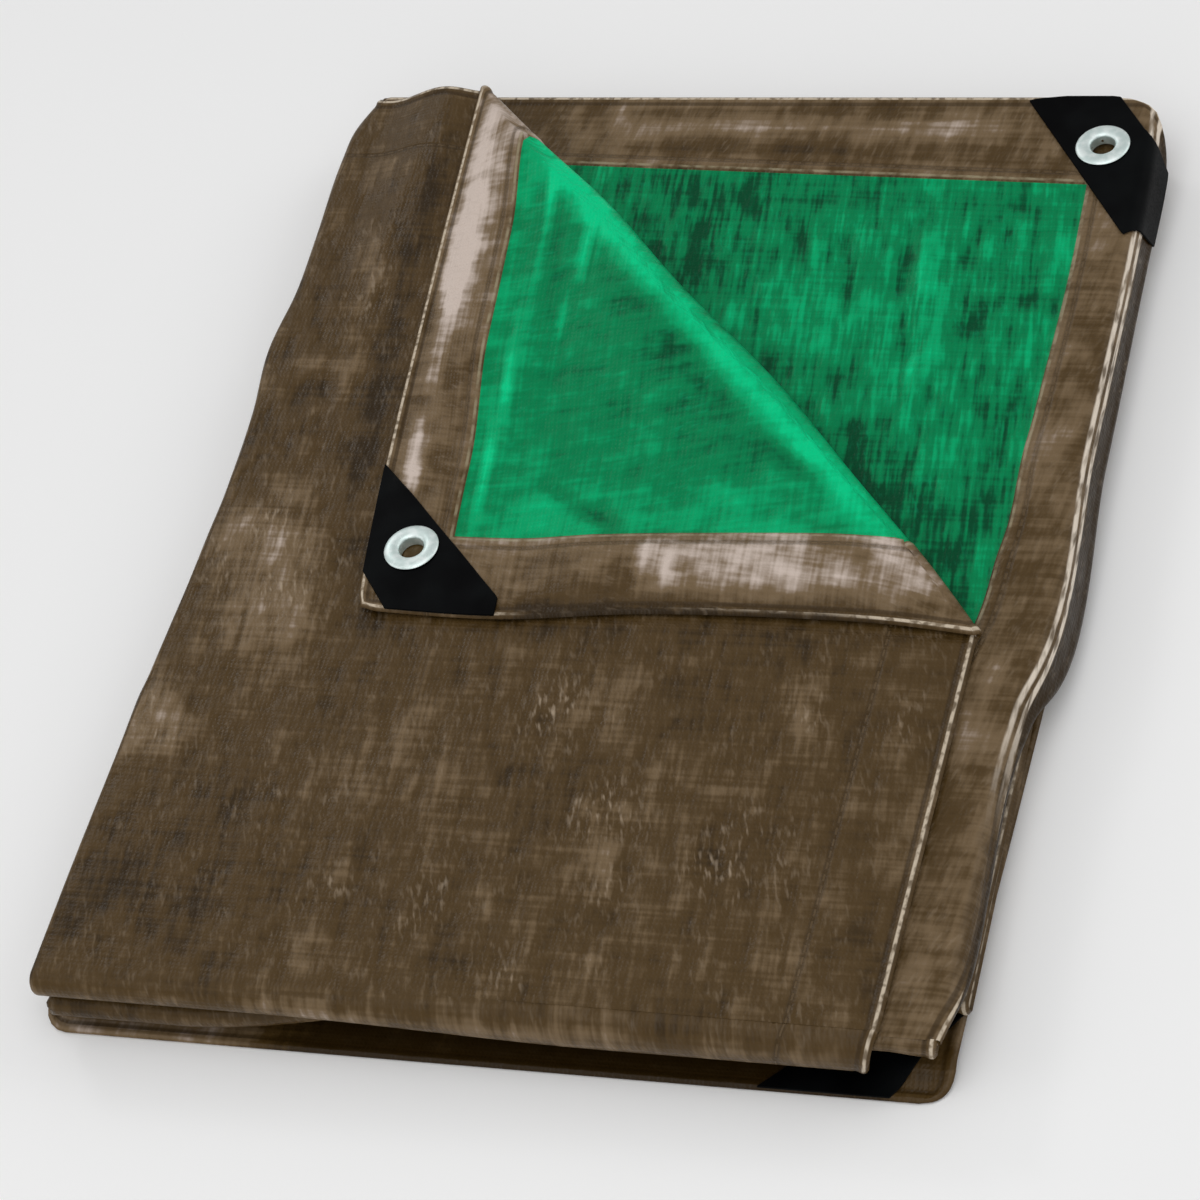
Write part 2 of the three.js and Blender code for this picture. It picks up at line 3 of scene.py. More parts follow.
import bpy
import bmesh
import numpy as np
from mathutils import Matrix, Vector


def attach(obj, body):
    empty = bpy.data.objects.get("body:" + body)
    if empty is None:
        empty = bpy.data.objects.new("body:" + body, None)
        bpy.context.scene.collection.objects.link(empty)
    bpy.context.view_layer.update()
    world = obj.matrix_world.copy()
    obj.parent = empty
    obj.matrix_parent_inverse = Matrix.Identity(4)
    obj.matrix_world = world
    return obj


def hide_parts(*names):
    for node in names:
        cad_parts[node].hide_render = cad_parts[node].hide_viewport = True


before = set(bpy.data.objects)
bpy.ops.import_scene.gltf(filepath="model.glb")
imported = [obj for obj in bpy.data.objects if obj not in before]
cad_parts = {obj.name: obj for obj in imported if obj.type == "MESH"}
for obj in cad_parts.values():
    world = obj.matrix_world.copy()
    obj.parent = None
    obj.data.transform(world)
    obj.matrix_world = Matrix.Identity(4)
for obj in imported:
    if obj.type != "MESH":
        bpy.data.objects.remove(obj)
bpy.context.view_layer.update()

ORIGIN = np.array([189.1203, 248.0136, 0.0])

# Driving sizes, the same as the solids have
HALF = 0.6
HEM_EXTRA = 0.5
HEM_WIDTH = 40
HEM_STEP = 0.8
PIECE_GAP = 0.3
LAYERS = {"A": [34.4, 22.1, 18.9, 9.3, 5.6], "B": [30.3, 26.2, 15.7, 12.5, 0.6]}
PANELS = 5
BACK_END = {"A": 494, "B": 500}
BACK_FOLD_AFTER = {1: 488, 3: 485}
FRONT_FOLD_AFTER = {0: (-3.5, -3, 0, 352), 2: (-3.5, 28, 60, 240)}
FRONT_END_A = 14
FRONT_END_B = (-4, -2.5)
SAG = dict(depth=8.8, share_of_b=0.3, start=100, full=240, recovery=22)
EDGE = {
    "A": [352, 352, 344, 347, 349, 350, 347, 343, 341, 338],
    "B": [376, 374, 372, 372, 374, 378, 378.5, 370, 372, 375.5],
}
WIDTH_A = EDGE["A"][0]
LEFT_EDGE = [
    (-10, 0), (60, -0.6), (150, 0.2), (255, 2.2), (300, 0.4), (337, -3.8), (373, -1.2),
    (405, -2), (455, -3.9), (474, -3), (488, 1.5), (502, 7),
]
LOWER_LEFT_INSET = 2.5
SKIRT = [
    # y, x where the bend starts, drop angle in degrees, length past the bend
    (-10, 371, 0, 2), (14, 371.5, 30, 2.5), (34, 371.5, 56, 5), (150, 370, 62, 6),
    (166, 371, 66, 8), (184, 374.5, 74, 13), (300, 373, 76, 13.5), (430, 371, 78, 13),
    (470, 370, 72, 12), (502, 367, 60, 10),
]
SKIRT_BEND_RADIUS = 5
BACK_CORNER_RADIUS = 30
END_CORNER_RADIUS = 12
CREASE_BACK = np.array([62.0, 490.0])
CREASE_RIGHT = np.array([354.0, 194.0])
FLAP_TIP = np.array([86.0, 191.0])
CREASE_BOW = [(0, 0), (0.1, 2), (0.25, 6.4), (0.4, 5.6), (0.6, 8.2), (0.75, 5.6), (0.9, 3.4), (1, 0)]
FLAP_LEFT_BOW = 5.3
FLAP_FRONT_BOW = [(0, 0), (0.24, -2), (0.45, 3.4), (0.7, 4.8), (0.87, 3.6), (1, 0)]
FLAP_REST_GAP = 2.6
FLAP_SETTLE = 45
FLAP_TIP_ROUND = 5
HEM_BULGE = 2.6
HEM_TAPER = dict(first=0.018, second=0.016)
BACK_HEM_SLOPE = dict(drop=10.5, left=90, right=350)
SIDE_HEM_MORE = [
    # y, how much wider the side hem is there
    (150, 0), (190, 9), (215, 10), (235, 9), (255, 5), (300, 0.8), (340, 0), (445, -1.2), (500, -1.2),
]
HEM_RISE = dict(height=3, crest=0.04, fall=0.07, end=0.2, start=0.24, full=0.36, until=0.86)
BEAD = np.array([0.3, 0.65, 0.6, 0.1, -0.12, 0])
ROLL = [(0, 1.4), (0.15, 3), (0.35, 5.4), (0.6, 5), (0.85, 2.8), (1, 1.5)]
HUMP = dict(height=14.5, start=330, end=494, foot=8, top=46, settle=2.5, settled=64)
END_LIFT = dict(height=6.2, foot=341, top=362, edge=-1, crest=15, fall=60, end=170)
SPREAD_START, SPREAD_END, SPREAD_RISE = 354, 368, [0, -2, 1.6, 0, 0]
PATCH_THICKNESS = 1
FLAP_PATCH = dict(tall=78, wide=62, tall_cut=19, wide_cut=13, side=9)
BACK_PATCH = dict(
    inner=((312, 502), (371.5, 417)), outer=((359, 495), (376, 471)), end=((371.5, 417), (392, 445)),
)
END_PATCH = dict(inner=((300, -3), (375, 73)), outer=((352, -3), (374, 31)))
FLAP_EYELET = (101.6, 222.8)
BACK_EYELET = (353.5, 469)
EYELET_CUT = 8.2
# Heights above which an eyelet's hole is cut, between its layer and the one below
BELOW_FLAP = 35.5
BELOW_LAYER_B = 28

# Rows and columns of the sheet's grid, closer together along its free edges
NEAR_EDGE = np.array([0, 1, 2, 3.2, 4.4, 6.5])
HEM_SHARE, NEXT_TO_HEM = 0.134, 0.138
CREASE_REACH = 300
TO_HEM = np.concatenate([NEAR_EDGE / CREASE_REACH, np.linspace(0.033, HEM_SHARE, 10)])
CREASE_ROWS = np.concatenate([TO_HEM, np.linspace(NEXT_TO_HEM, 1 - NEXT_TO_HEM, 52), 1 - TO_HEM[::-1]])
AHEAD_ROWS = np.linspace(190.4, 6, 48)
TURN_STEPS = [14, 5, 9, 5]
END_ROWS = [300, 190, 120, 84, 62, 48, 40.8, 40, 33, 27, 21, 16, 12, 9, 6.5, 4.4, 3.2, 2, 1, 0]
FROM_EDGE_A = np.concatenate([NEAR_EDGE, np.linspace(10, 40, 9), np.linspace(40.8, WIDTH_A, 80)])
COLUMNS_A = 1 - FROM_EDGE_A / WIDTH_A
COLUMNS_B = np.concatenate([np.linspace(0, 0.15, 4), np.linspace(0.18, 1, 82)])
FROM_EDGE_B = [40, 35.5, 31, 27, 23.5, 20.5, 18, 15.5, 13, 11, 9, 6.5, 4.4, 3.2, 2, 1, 0]
HEM_COLUMNS_B = 1 - np.array(FROM_EDGE_B) / HEM_WIDTH
LEFT_FOLD_STEPS = 8
ROLL_STEPS = 12
# Distance given to points far from any free edge, x where the flat length is measured, and the
# height below which the sheet's edge has no bead on its underside
FAR = 300
MEASURED_AT = 150.0
LOWEST_LAYER_TOP = 4


def ramp(value, low, high):
    share = np.clip((value - low) / (high - low), 0, 1)
    return share * share * (3 - 2 * share)


def mix(a, b, share):
    return a + (b - a) * share


def curve(rows, key, column=1):
    """Smooth curve through a table's rows, read at a key."""
    keys = np.array([row[0] for row in rows], float)
    values = np.array([row[column] for row in rows], float)
    slopes = np.gradient(values, keys)
    key = np.clip(key, keys[0], keys[-1])
    row = np.clip(np.searchsorted(keys, key) - 1, 0, len(keys) - 2)
    gap = keys[row + 1] - keys[row]
    t = (key - keys[row]) / gap
    return (
        values[row] * (2 * t**3 - 3 * t**2 + 1) + values[row + 1] * (3 * t**2 - 2 * t**3)
        + gap * (slopes[row] * (t**3 - 2 * t**2 + t) + slopes[row + 1] * (t**3 - t**2))
    )


# Folds of the sheet

def hump_at(x, y):
    along = np.clip((y - HUMP["start"]) / (HUMP["end"] - HUMP["start"]), 0, 1.1)
    rise = HUMP["height"] * ramp(x, HUMP["foot"], HUMP["top"])
    settle = HUMP["settle"] * ramp(x, HUMP["top"], HUMP["settled"])
    return (rise - settle) * (0.25 * along + 0.75 * along * along)


def end_lift_at(x, y):
    rise = ramp(x, END_LIFT["foot"], END_LIFT["top"]) * ramp(y, END_LIFT["edge"], END_LIFT["crest"])
    return END_LIFT["height"] * rise * (1 - ramp(y, END_LIFT["fall"], END_LIFT["end"]))


def sag_at(half, x):
    return SAG["depth"] * ramp(x, SAG["start"], SAG["full"]) * (1 if half == "A" else SAG["share_of_b"])


def height_at_turn(half, panel, turn, x):
    sags = turn == 0 and panel == 1
    return LAYERS[half][panel] - (sag_at(half, x) if sags else 0)


def turn_after(panel, x):
    radii = {
        half: (height_at_turn(half, panel, panel, x) - height_at_turn(half, panel + 1, panel, x)) / 2
        for half in "AB"
    }
    outer = np.maximum(radii["A"], radii["B"])
    if panel in FRONT_FOLD_AFTER:
        left, right, start, end = FRONT_FOLD_AFTER[panel]
        return mix(left, right, ramp(x, start, end)) + outer, -1, radii
    return BACK_FOLD_AFTER[panel] - outer, 1, radii


def back_hem_drop(share, x):
    """The back hem of the under layer grows wider to the right."""
    slope = BACK_HEM_SLOPE
    near = ramp(share, 0, HEM_SHARE) * (1 - ramp(share, NEXT_TO_HEM, 0.6))
    return slope["drop"] * near * np.clip((x - slope["left"]) / (slope["right"] - slope["left"]), 0, 1)


def path(row, half, x):
    """Height and distance from the front of layer A or B, at a row of the grid."""
    kind, value, panel = row[:3]
    layers = LAYERS[half]
    if kind == "turn":
        line, sense, radii = turn_after(panel, x)
        radius = radii[half]
        middle = height_at_turn(half, panel, panel, x) - radius
        return line + sense * radius * math.sin(value) + 0 * x, middle + radius * math.cos(value) + 0 * x
    if kind == "crease":
        drop = back_hem_drop(value, x) if half == "B" else 0
        return mix(BACK_END[half], CREASE_RIGHT[1], value) - drop + 0 * x, layers[0] + 0 * x
    if kind == "ahead":
        return value + 0 * x, layers[0] + 0 * x
    if kind == "behind":
        recovered = ramp(value, 0, SAG["recovery"])
        return turn_after(0, x)[0] + value + 0 * x, layers[panel] - sag_at(half, x) * (1 - recovered)
    if kind == "share":
        y = mix(turn_after(panel - 1, x)[0], turn_after(panel, x)[0], value)
        return y + 0 * x, layers[panel] + 0 * x
    end = FRONT_END_A if half == "A" else mix(*FRONT_END_B, x / EDGE["B"][0])
    return end + value + 0 * x, layers[panel] + 0 * x


def make_rows():
    """Rows from the free end on top to the free end below: kind, value, panel, place along."""
    rows = [("crease", share, 0, 0) for share in CREASE_ROWS]
    rows += [("ahead", y, 0, 0) for y in AHEAD_ROWS]
    for panel in range(PANELS - 1):
        if panel == 1:
            rows += [("behind", mm, 1, 2) for mm in (4, 8, 12, 17, 23)]
        if panel:
            shares = (0.2, 0.6, 0.95) if panel == 1 else (0.05, 0.5, 0.95)
            rows += [("share", share, panel, 2 * panel + share) for share in shares]
        steps = TURN_STEPS[panel]
        rows += [("turn", math.pi * k / steps, panel, 2 * panel + 1 + k / steps) for k in range(steps + 1)]
    return rows + [("end", mm, PANELS - 1, 2 * PANELS - 1) for mm in END_ROWS]


def on_top(row):
    return row[2] == 0 and row[0] != "turn"


def edge_at(half, row):
    whole = min(int(row[3]), 2 * PANELS - 2)
    return mix(EDGE[half][whole], EDGE[half][whole + 1], row[3] - whole)


def left_edge_at(y, z):
    lower = LOWER_LEFT_INSET + 1.2 * np.sin(y / 60 + z)
    return mix(lower, curve(LEFT_EDGE, y), ramp(z, 20, 25))


ALONG_CREASE = (CREASE_RIGHT - CREASE_BACK) / np.linalg.norm(CREASE_RIGHT - CREASE_BACK)
OUT_OF_CREASE = np.array([-ALONG_CREASE[1], ALONG_CREASE[0]])


def crease_base(share):
    """Line where the roll leaves the flat, and the roll's radius there."""
    share = np.asarray(share, float)
    radius = curve(ROLL, share)
    line = CREASE_BACK + share[..., None] * (CREASE_RIGHT - CREASE_BACK)
    return line + (curve(CREASE_BOW, share) - radius - HALF)[..., None] * OUT_OF_CREASE, radius


def point_a(row, share):
    y_left, z = path(row, "A", np.zeros(1))
    left = left_edge_at(y_left, z) + HALF
    if row[0] == "crease":
        line, _ = crease_base(row[1])
        x = mix(left + (LAYERS["A"][0] - LAYERS["B"][0]) / 2, line[0], share)
        y = mix(y_left, line[1], ramp(share, 0, 1))
        return x, y, z + hump_at(x, y)
    x = mix(left + 2, edge_at("A", row), share)
    y, height = path(row, "A", x)
    return x, y, height + (hump_at(x, y) if on_top(row) else 0)


def corner_trim(radius, from_end):
    reach = max(radius - from_end, 0)
    return radius - math.sqrt(radius * radius - reach * reach)


def point_b(row, share, in_hem):
    """Point of layer B at shares of its body or hem.

    Also its flat width, its distance from the side edge and how far it lies past the side bend."""
    zero = np.zeros(1)
    y_left, z_left = path(row, "B", zero)
    left = left_edge_at(path(row, "A", zero)[0], z_left) + HALF + 2
    start = width = edge_at("B", row)
    angle = hem_more = 0.0
    if on_top(row):
        start = curve(SKIRT, y_left, 1)
        angle = np.radians(curve(SKIRT, y_left, 2))
        width = start + SKIRT_BEND_RADIUS * angle + curve(SKIRT, y_left, 3)
        hem_more = curve(SIDE_HEM_MORE, y_left)
    hem_start = width - HEM_WIDTH - hem_more
    flat = mix(left, hem_start - HEM_STEP, share)
    edge = width
    if in_hem:
        if row[0] == "crease":
            edge = edge - corner_trim(BACK_CORNER_RADIUS, BACK_END["B"] - y_left[0])
        if row[0] == "end":
            edge = edge - corner_trim(END_CORNER_RADIUS, row[1])
        flat = mix(hem_start, edge, share)
    past = np.maximum(flat - start, 0)
    turned = np.minimum(past / SKIRT_BEND_RADIUS, angle)
    straight = past - turned * SKIRT_BEND_RADIUS
    x = np.minimum(flat, start) + SKIRT_BEND_RADIUS * np.sin(turned) + straight * np.cos(angle)
    drop = SKIRT_BEND_RADIUS * (1 - np.cos(turned)) + straight * np.sin(angle)
    y, height = path(row, "B", x)
    side = (1 - share) * HEM_WIDTH if in_hem else edge - flat
    beyond = flat - start - SKIRT_BEND_RADIUS * angle if row[2] == 0 else -FAR
    return x, y, height - drop + risen_b(row, x, y), flat, side, beyond


def risen_b(row, x, y):
    beyond = ramp(x, SPREAD_START, SPREAD_END)
    if row[0] == "turn":
        over = (1 + math.cos(row[1])) / 2
        return beyond * mix(SPREAD_RISE[row[2] + 1], SPREAD_RISE[row[2]], over)
    return beyond * SPREAD_RISE[row[2]] + (end_lift_at(x, y) if row[2] == PANELS - 1 else 0)


def tapered(to_back, to_right):
    """Shares after the turned corner's left hem is drawn narrower towards the back."""
    near = ramp(to_right, 0, HEM_SHARE) * (1 - ramp(to_right, NEXT_TO_HEM, 0.5))
    shift = HEM_TAPER["first"] * ramp(to_back, 0.27, 0.5) + HEM_TAPER["second"] * ramp(to_back, 0.7, 0.87)
    return to_back + shift * near * (to_back + to_right) ** 2, to_right - shift * near


def flap_point(to_back, to_right):
    """Points of the turned back corner, by shares towards the crease's two ends."""
    to_back, to_right = tapered(to_back, to_right)
    total = to_back + to_right
    share = np.where(total > 0, to_right / np.maximum(total, 1e-9), 0.5)
    line, radius = crease_base(share)
    straight = CREASE_BACK + share[..., None] * (CREASE_RIGHT - CREASE_BACK)
    at = (
        FLAP_TIP + to_back[..., None] * (CREASE_BACK - FLAP_TIP)
        + to_right[..., None] * (CREASE_RIGHT - FLAP_TIP) + (line - straight) * (total**2)[..., None]
    )
    x = at[..., 0] - FLAP_LEFT_BOW * 4 * to_back * (1 - to_back) * (1 - to_right) ** 3
    y = at[..., 1] + curve(FLAP_FRONT_BOW, to_right) * (1 - to_back) ** 3
    tip = FLAP_TIP_ROUND * (1 - math.sqrt(0.5)) * np.exp(-((total / 0.02) ** 2))
    x, y = x + tip, y + tip
    depth = abs(np.cross(ALONG_CREASE, FLAP_TIP - CREASE_BACK)) * (1 - total)
    settled = np.exp(-((depth / FLAP_SETTLE) ** 2))
    lay = mix(FLAP_REST_GAP, np.maximum(2 * radius, FLAP_REST_GAP), settled)
    lift = hem_rise_at(to_back, to_right) + hem_bulge_at(to_back, to_right)
    return x, y, LAYERS["A"][0] + hump_at(x, y) + lay + lift


def hem_rise_at(to_back, to_right):
    rise = HEM_RISE
    along = ramp(to_right, rise["start"], rise["full"]) * (1 - ramp(to_right + to_back, rise["until"], 1))
    across = ramp(to_back, 0, rise["crest"]) - ramp(to_back, rise["fall"], rise["end"])
    return rise["height"] * along * across


def hem_bulge_at(to_back, to_right):
    """The left hem of the turned corner rises from its edge and settles behind the hem."""
    from_edge = to_right / HEM_SHARE * HEM_WIDTH
    along = mix(0.35, 1, ramp(to_back, 0.25, 0.55)) * ramp(to_back, 0.1, 0.3)
    return HEM_BULGE * along * ramp(from_edge, 1, 15) * (1 - ramp(from_edge, 28, 80))


# Creases: height (a trough's is negative), half width, and the line it follows

CREASES_A = [
    (1.0, 5, (-2, 329), (26, 328), (53, 326)), (-0.8, 10, (8, 316), (40, 313)),
    (1.3, 22, (8, 255), (40, 205), (62, 160)), (-0.9, 18, (72, 245), (92, 165)),
    (0.9, 14, (-2, 152), (30, 108)), (-0.35, 4, (95, 152), (99, 28)), (0.4, 4, (116, 122), (120, 16)),
    (0.35, 4, (150, 104), (152, 6)), (-0.35, 4, (168, 112), (172, 12)), (0.35, 4, (204, 62), (206, 2)),
    (-0.4, 5, (222, 92), (243, 38)), (0.65, 4, (203, 112), (222, 85), (238, 52)),
    (-0.55, 4, (210, 113), (229, 84), (245, 52)), (0.5, 4, (250, 92), (262, 75), (271, 54)),
    (-0.4, 4, (257, 92), (269, 74)), (0.5, 4, (284, 178), (290, 150), (297, 128)),
    (0.5, 4, (327, 172), (333, 140), (337, 108)), (-0.4, 5, (309, 172), (314, 108)),
    (0.35, 4, (300, 102), (298, 8)), (-0.35, 4, (62, 120), (66, 16)), (0.35, 4, (78, 100), (80, 12)),
    (0.4, 4, (36, 470), (34, 400), (42, 345)), (-0.4, 4, (16, 440), (14, 370)),
]
CREASES_B = [
    (-0.3, 3.2, (140, 434), (250, 436), (352, 434)), (0.35, 3, (208, 427), (212, 398)),
    (0.45, 3, (216, 425), (224, 395), (232, 368)), (0.45, 3, (237, 425), (238, 400), (238, 345)),
    (-0.45, 3, (247, 425), (252, 400), (262, 370)), (0.4, 3, (256, 425), (262, 398)),
    (0.5, 3, (265, 428), (270, 405), (275, 388)), (-0.85, 3.2, (277, 430), (278, 400), (279, 372)),
    (0.9, 5, (287, 428), (288, 400), (290, 372), (289, 348)), (0.5, 3, (298, 426), (302, 403)),
    (-0.55, 3, (306, 428), (307, 405), (309, 388)), (0.5, 3, (312, 425), (314, 400)),
    (-0.6, 3, (318, 427), (322, 398)), (0.45, 3, (327, 428), (329, 405)),
    (-0.6, 3, (333, 430), (335, 405), (338, 383)), (0.6, 3.5, (341, 425), (343, 400), (346, 378)),
    (-0.85, 4, (283, 396), (287, 365), (291, 335)), (0.75, 5, (300, 363), (298, 323), (300, 294)),
    (-0.6, 4, (310, 383), (322, 352)), (-0.5, 4, (327, 400), (340, 370)),
    (-0.5, 4, (331, 324), (326, 302)), (0.5, 5, (310, 323), (312, 290), (309, 268)),
    (-0.6, 4, (273, 312), (284, 280)), (-0.9, 3.5, (278, 286), (290, 272), (303, 263)),
    (0.5, 3.5, (257, 324), (266, 302)), (-0.5, 3.5, (230, 352), (236, 322)),
    (0.4, 3, (247, 392), (253, 342)), (-0.5, 3.5, (344, 345), (338, 274)),
    (0.5, 4, (320, 297), (327, 255)), (-0.5, 3.5, (323, 251), (337, 225)),
    (-0.5, 3.5, (180, 425), (186, 402)), (0.4, 3.5, (190, 424), (196, 400)),
]
CREASES_FLAP = [
    (0.7, 2.6, (113, 455), (114, 393), (117, 343), (123, 276), (125, 236)),
    (-0.4, 3, (107, 450), (109, 393), (111, 343), (117, 276), (119, 240)),
    (0.5, 2.6, (137, 428), (136, 364)), (-0.5, 3, (141, 342), (139, 298)),
    (-0.7, 12, (186, 352), (210, 318), (240, 296)), (-0.9, 3.5, (150, 262), (170, 250), (194, 238)),
    (0.5, 3, (148, 254), (168, 242), (186, 233)), (-0.8, 3.2, (246, 281), (263, 271), (281, 262)),
    (0.6, 3.2, (243, 273), (262, 262), (277, 254)), (0.7, 2.6, (205, 232), (208, 212)),
    (0.5, 2.6, (215, 224), (220, 207)), (0.5, 3, (226, 262), (246, 250)),
    (-0.4, 3, (262, 250), (280, 240)), (0.4, 3, (100, 296), (84, 262)),
] + [
    (0.35, 2.6, (118, y), (127, y + 1.5), (136, y)) for y in (441, 430, 419, 407, 396, 384, 371)
] + [
    (0.35, 2.6, (120, y), (140, y - 2)) for y in (352, 341, 330, 318, 305)
]


def strokes(x, y, marks):
    total = np.zeros_like(x)
    for height, width, *line in marks:
        nearest = np.full_like(x, 1e9)
        along = np.zeros_like(x)
        lengths = [math.dist(a, b) for a, b in zip(line, line[1:])]
        done = 0.0
        for (x1, y1), (x2, y2), length in zip(line, line[1:], lengths):
            t = np.clip(((x - x1) * (x2 - x1) + (y - y1) * (y2 - y1)) / length**2, 0, 1)
            distance = np.hypot(x - mix(x1, x2, t), y - mix(y1, y2, t))
            closer = distance < nearest
            nearest = np.where(closer, distance, nearest)
            along = np.where(closer, (done + t * length) / sum(lengths), along)
            done += length
        fade = ramp(along, 0, 0.25) * (1 - ramp(along, 0.75, 1))
        total += height * np.exp(-((nearest / width) ** 2)) * fade
    return total


# Painted highlights (+) and painted shade, mixed with some tone of the cloth, and places with more painted
# glints (pale flecks): amount, half width, line

PAINTED_LIGHT_AND_TONE_A = [
    (0.3, 17, (66, 232), (24, 222)), (0.25, 15, (-4, 150), (30, 112)), (-0.15, 18, (10, 60), (70, 20)),
    (0.35, 7, (46, 318), (28, 298)), (-0.2, 14, (30, 488), (36, 400)), (-0.15, 20, (0, 300), (30, 280)),
    (0.15, 16, (150, 168), (232, 146)), (0.22, 14, (205, 110), (248, 56)), (0.2, 9, (286, 176), (298, 126)),
    (-0.12, 16, (140, 60), (195, 20)), (-0.3, 40, (-20, 50), (110, 30)),
    (0.35, 2.2, (-90, -3.4), (200, -3), (430, -3)), (-0.5, 8, (46, 492), (52, 380), (60, 300), (68, 200)),
    (0.15, 10, (326, 172), (336, 120)), (0.2, 8, (20, 420), (36, 350)),
    (-0.3, 7, (100, 186), (240, 190), (345, 186)),
    (0.25, 3, (-2, 480), (-4, 400), (0, 250), (0, 100), (0, 0)),
]
PAINTED_LIGHT_AND_TONE_B = [
    (-0.2, 12, (120, 448), (220, 444)), (-0.2, 20, (140, 425), (200, 385)),
    (0.22, 12, (290, 410), (298, 320)),
    (-0.2, 14, (285, 310), (325, 240)), (0.2, 9, (314, 310), (322, 260)), (-0.2, 7, (342, 350), (340, 240)),
    (-0.12, 5, (130, 436), (240, 437), (345, 434)), (-0.25, 12, (255, 345), (285, 300)),
    (-0.3, 40, (250, 300), (320, 240), (340, 215)),
    (-0.2, 40, (130, 440), (220, 360)), (0.2, 14, (320, 420), (330, 380)),
    (0.4, 5, (110, 480), (230, 482), (330, 480)), (-0.3, 3.5, (110, 490), (230, 492), (310, 490)),
    (-0.4, 5, (110, 468), (200, 468), (330, 462)), (0.25, 3, (104, 461), (180, 460), (250, 457)),
    (0.25, 3, (371, 160), (371, 110), (372, 30)), (0.2, 12, (352, 400), (354, 260)),
]
PAINTED_LIGHT_AND_TONE_FLAP = [
    (-0.1, 16, (150, 392), (200, 330), (262, 272)), (0.55, 20, (110, 238), (200, 240), (290, 232)),
    (1.25, 7.5, (60, 500), (143, 405), (213, 333), (285, 260), (350, 190)),
    (0.3, 7, (97, 480), (104, 400), (111, 320), (124, 215)),
    (0.9, 1.6, (110, 500), (112, 450), (114, 393), (119, 310), (126, 215), (127, 200)),
    (0.9, 1.5, (141, 462), (138, 420), (136, 370), (134, 330)), (0.35, 1.5, (136, 370), (140, 290)),
    (-0.25, 9, (122, 430), (127, 330)), (-0.2, 9, (150, 300), (165, 262)),
    (-0.3, 5, (142, 268), (172, 250), (200, 236)), (-0.3, 5, (236, 288), (284, 262)),
    (0.95, 7, (66, 510), (71, 460), (75, 410), (80, 340)), (0.6, 4.5, (74, 420), (81, 350), (87, 290)),
    (0.9, 4, (83, 302), (88, 270), (93, 246)), (0.35, 12, (80, 500), (86, 400), (92, 320)),
    (0.35, 16, (200, 214), (290, 214), (350, 208)), (-1.0, 7, (120, 192), (240, 195), (345, 194)),
    (0.5, 3, (205, 236), (207, 208)), (0.35, 2.5, (216, 230), (220, 206)),
]
# Painted shade in the creases' troughs and painted highlight on their ridges, per part of the sheet
WRINKLE_SHADE_AND_HIGHLIGHT = {"A": 0.4, "B": 0.65, "flap": 0.4}
# The same painted shade and highlights for the front end of the bottom layer, how streaked each part is,
# what hems add to the tone, and the painted shade on the side past the bend
PAINTED_LIGHT_AND_TONE_END = [
    (0.35, 50, (-140, 0), (-60, 0), (60, 0), (110, 0)), (-1.2, 30, (60, 4), (200, 4), (300, 4), (400, 4)),
    (1.0, 9, (386, -20), (386, 0), (386, 30), (386, 60)),
]
STREAKS = {"A": 0.2, "B": 0.42, "flap": 0.14}
HEM_TONE, BEND_SHADE, HEM_STREAKS = 0.3, 1.3, 0.13
# Painted glints (pale flecks): their share everywhere, then listed places with more: amount, half width,
# line
PAINTED_GLINTS_ALL = 0.2
PAINTED_GLINTS_A = [
    (0.72, 24, (10, 250), (40, 215), (50, 175)), (0.48, 14, (2, 145), (24, 115)),
    (0.72, 13, (158, 148), (190, 146), (222, 140)), (0.8, 13, (205, 112), (228, 82), (244, 52)),
    (0.56, 12, (252, 92), (280, 64)), (0.64, 8, (284, 174), (292, 150), (300, 128)),
    (0.56, 8, (328, 168), (334, 128)), (0.4, 10, (36, 390), (44, 350)), (0.4, 10, (70, 140), (72, 60)),
    (0.36, 12, (116, 120), (120, 30)), (0.36, 12, (160, 90), (160, 20)), (0.32, 10, (200, 40), (205, 4)),
    (0.32, 12, (280, 110), (300, 30)),
]


# The sheet as one surface: points, faces, hem, flat place, and distances from its edges and bend

class Surface:
    def __init__(self):
        self.points, self.hem, self.flat, self.side, self.end, self.beyond = [], [], [], [], [], []
        self.faces = []
        self.count = 0

    def add(self, x, y, z, hem, flat, side, end, beyond=-FAR):
        """Adds points and returns their numbers.

        Side and end are distances from the free edges, beyond is how far past the side bend."""
        shape = np.broadcast(x, y, z).shape

        def spread(part):
            return np.broadcast_to(part, shape).ravel()

        self.points.append(np.stack([spread(part) for part in (x, y, z)], 1))
        self.hem.append(spread(hem))
        self.flat.append(np.stack([spread(part) for part in flat], 1))
        for values, part in ((self.side, side), (self.end, end), (self.beyond, beyond)):
            values.append(spread(part).astype(float))
        numbers = np.arange(self.count, self.count + self.points[-1].shape[0]).reshape(shape)
        self.count += numbers.size
        return numbers

    def join(self):
        for name in ("points", "hem", "flat", "side", "end", "beyond"):
            setattr(self, name, np.concatenate(getattr(self, name)))
        self.faces = np.array(self.faces)


def grid_faces(numbers):
    a, b = numbers[:-1, :-1].ravel(), numbers[:-1, 1:].ravel()
    c, d = numbers[1:, 1:].ravel(), numbers[1:, :-1].ravel()
    return np.concatenate([np.stack([a, b, c], 1), np.stack([a, c, d], 1)])


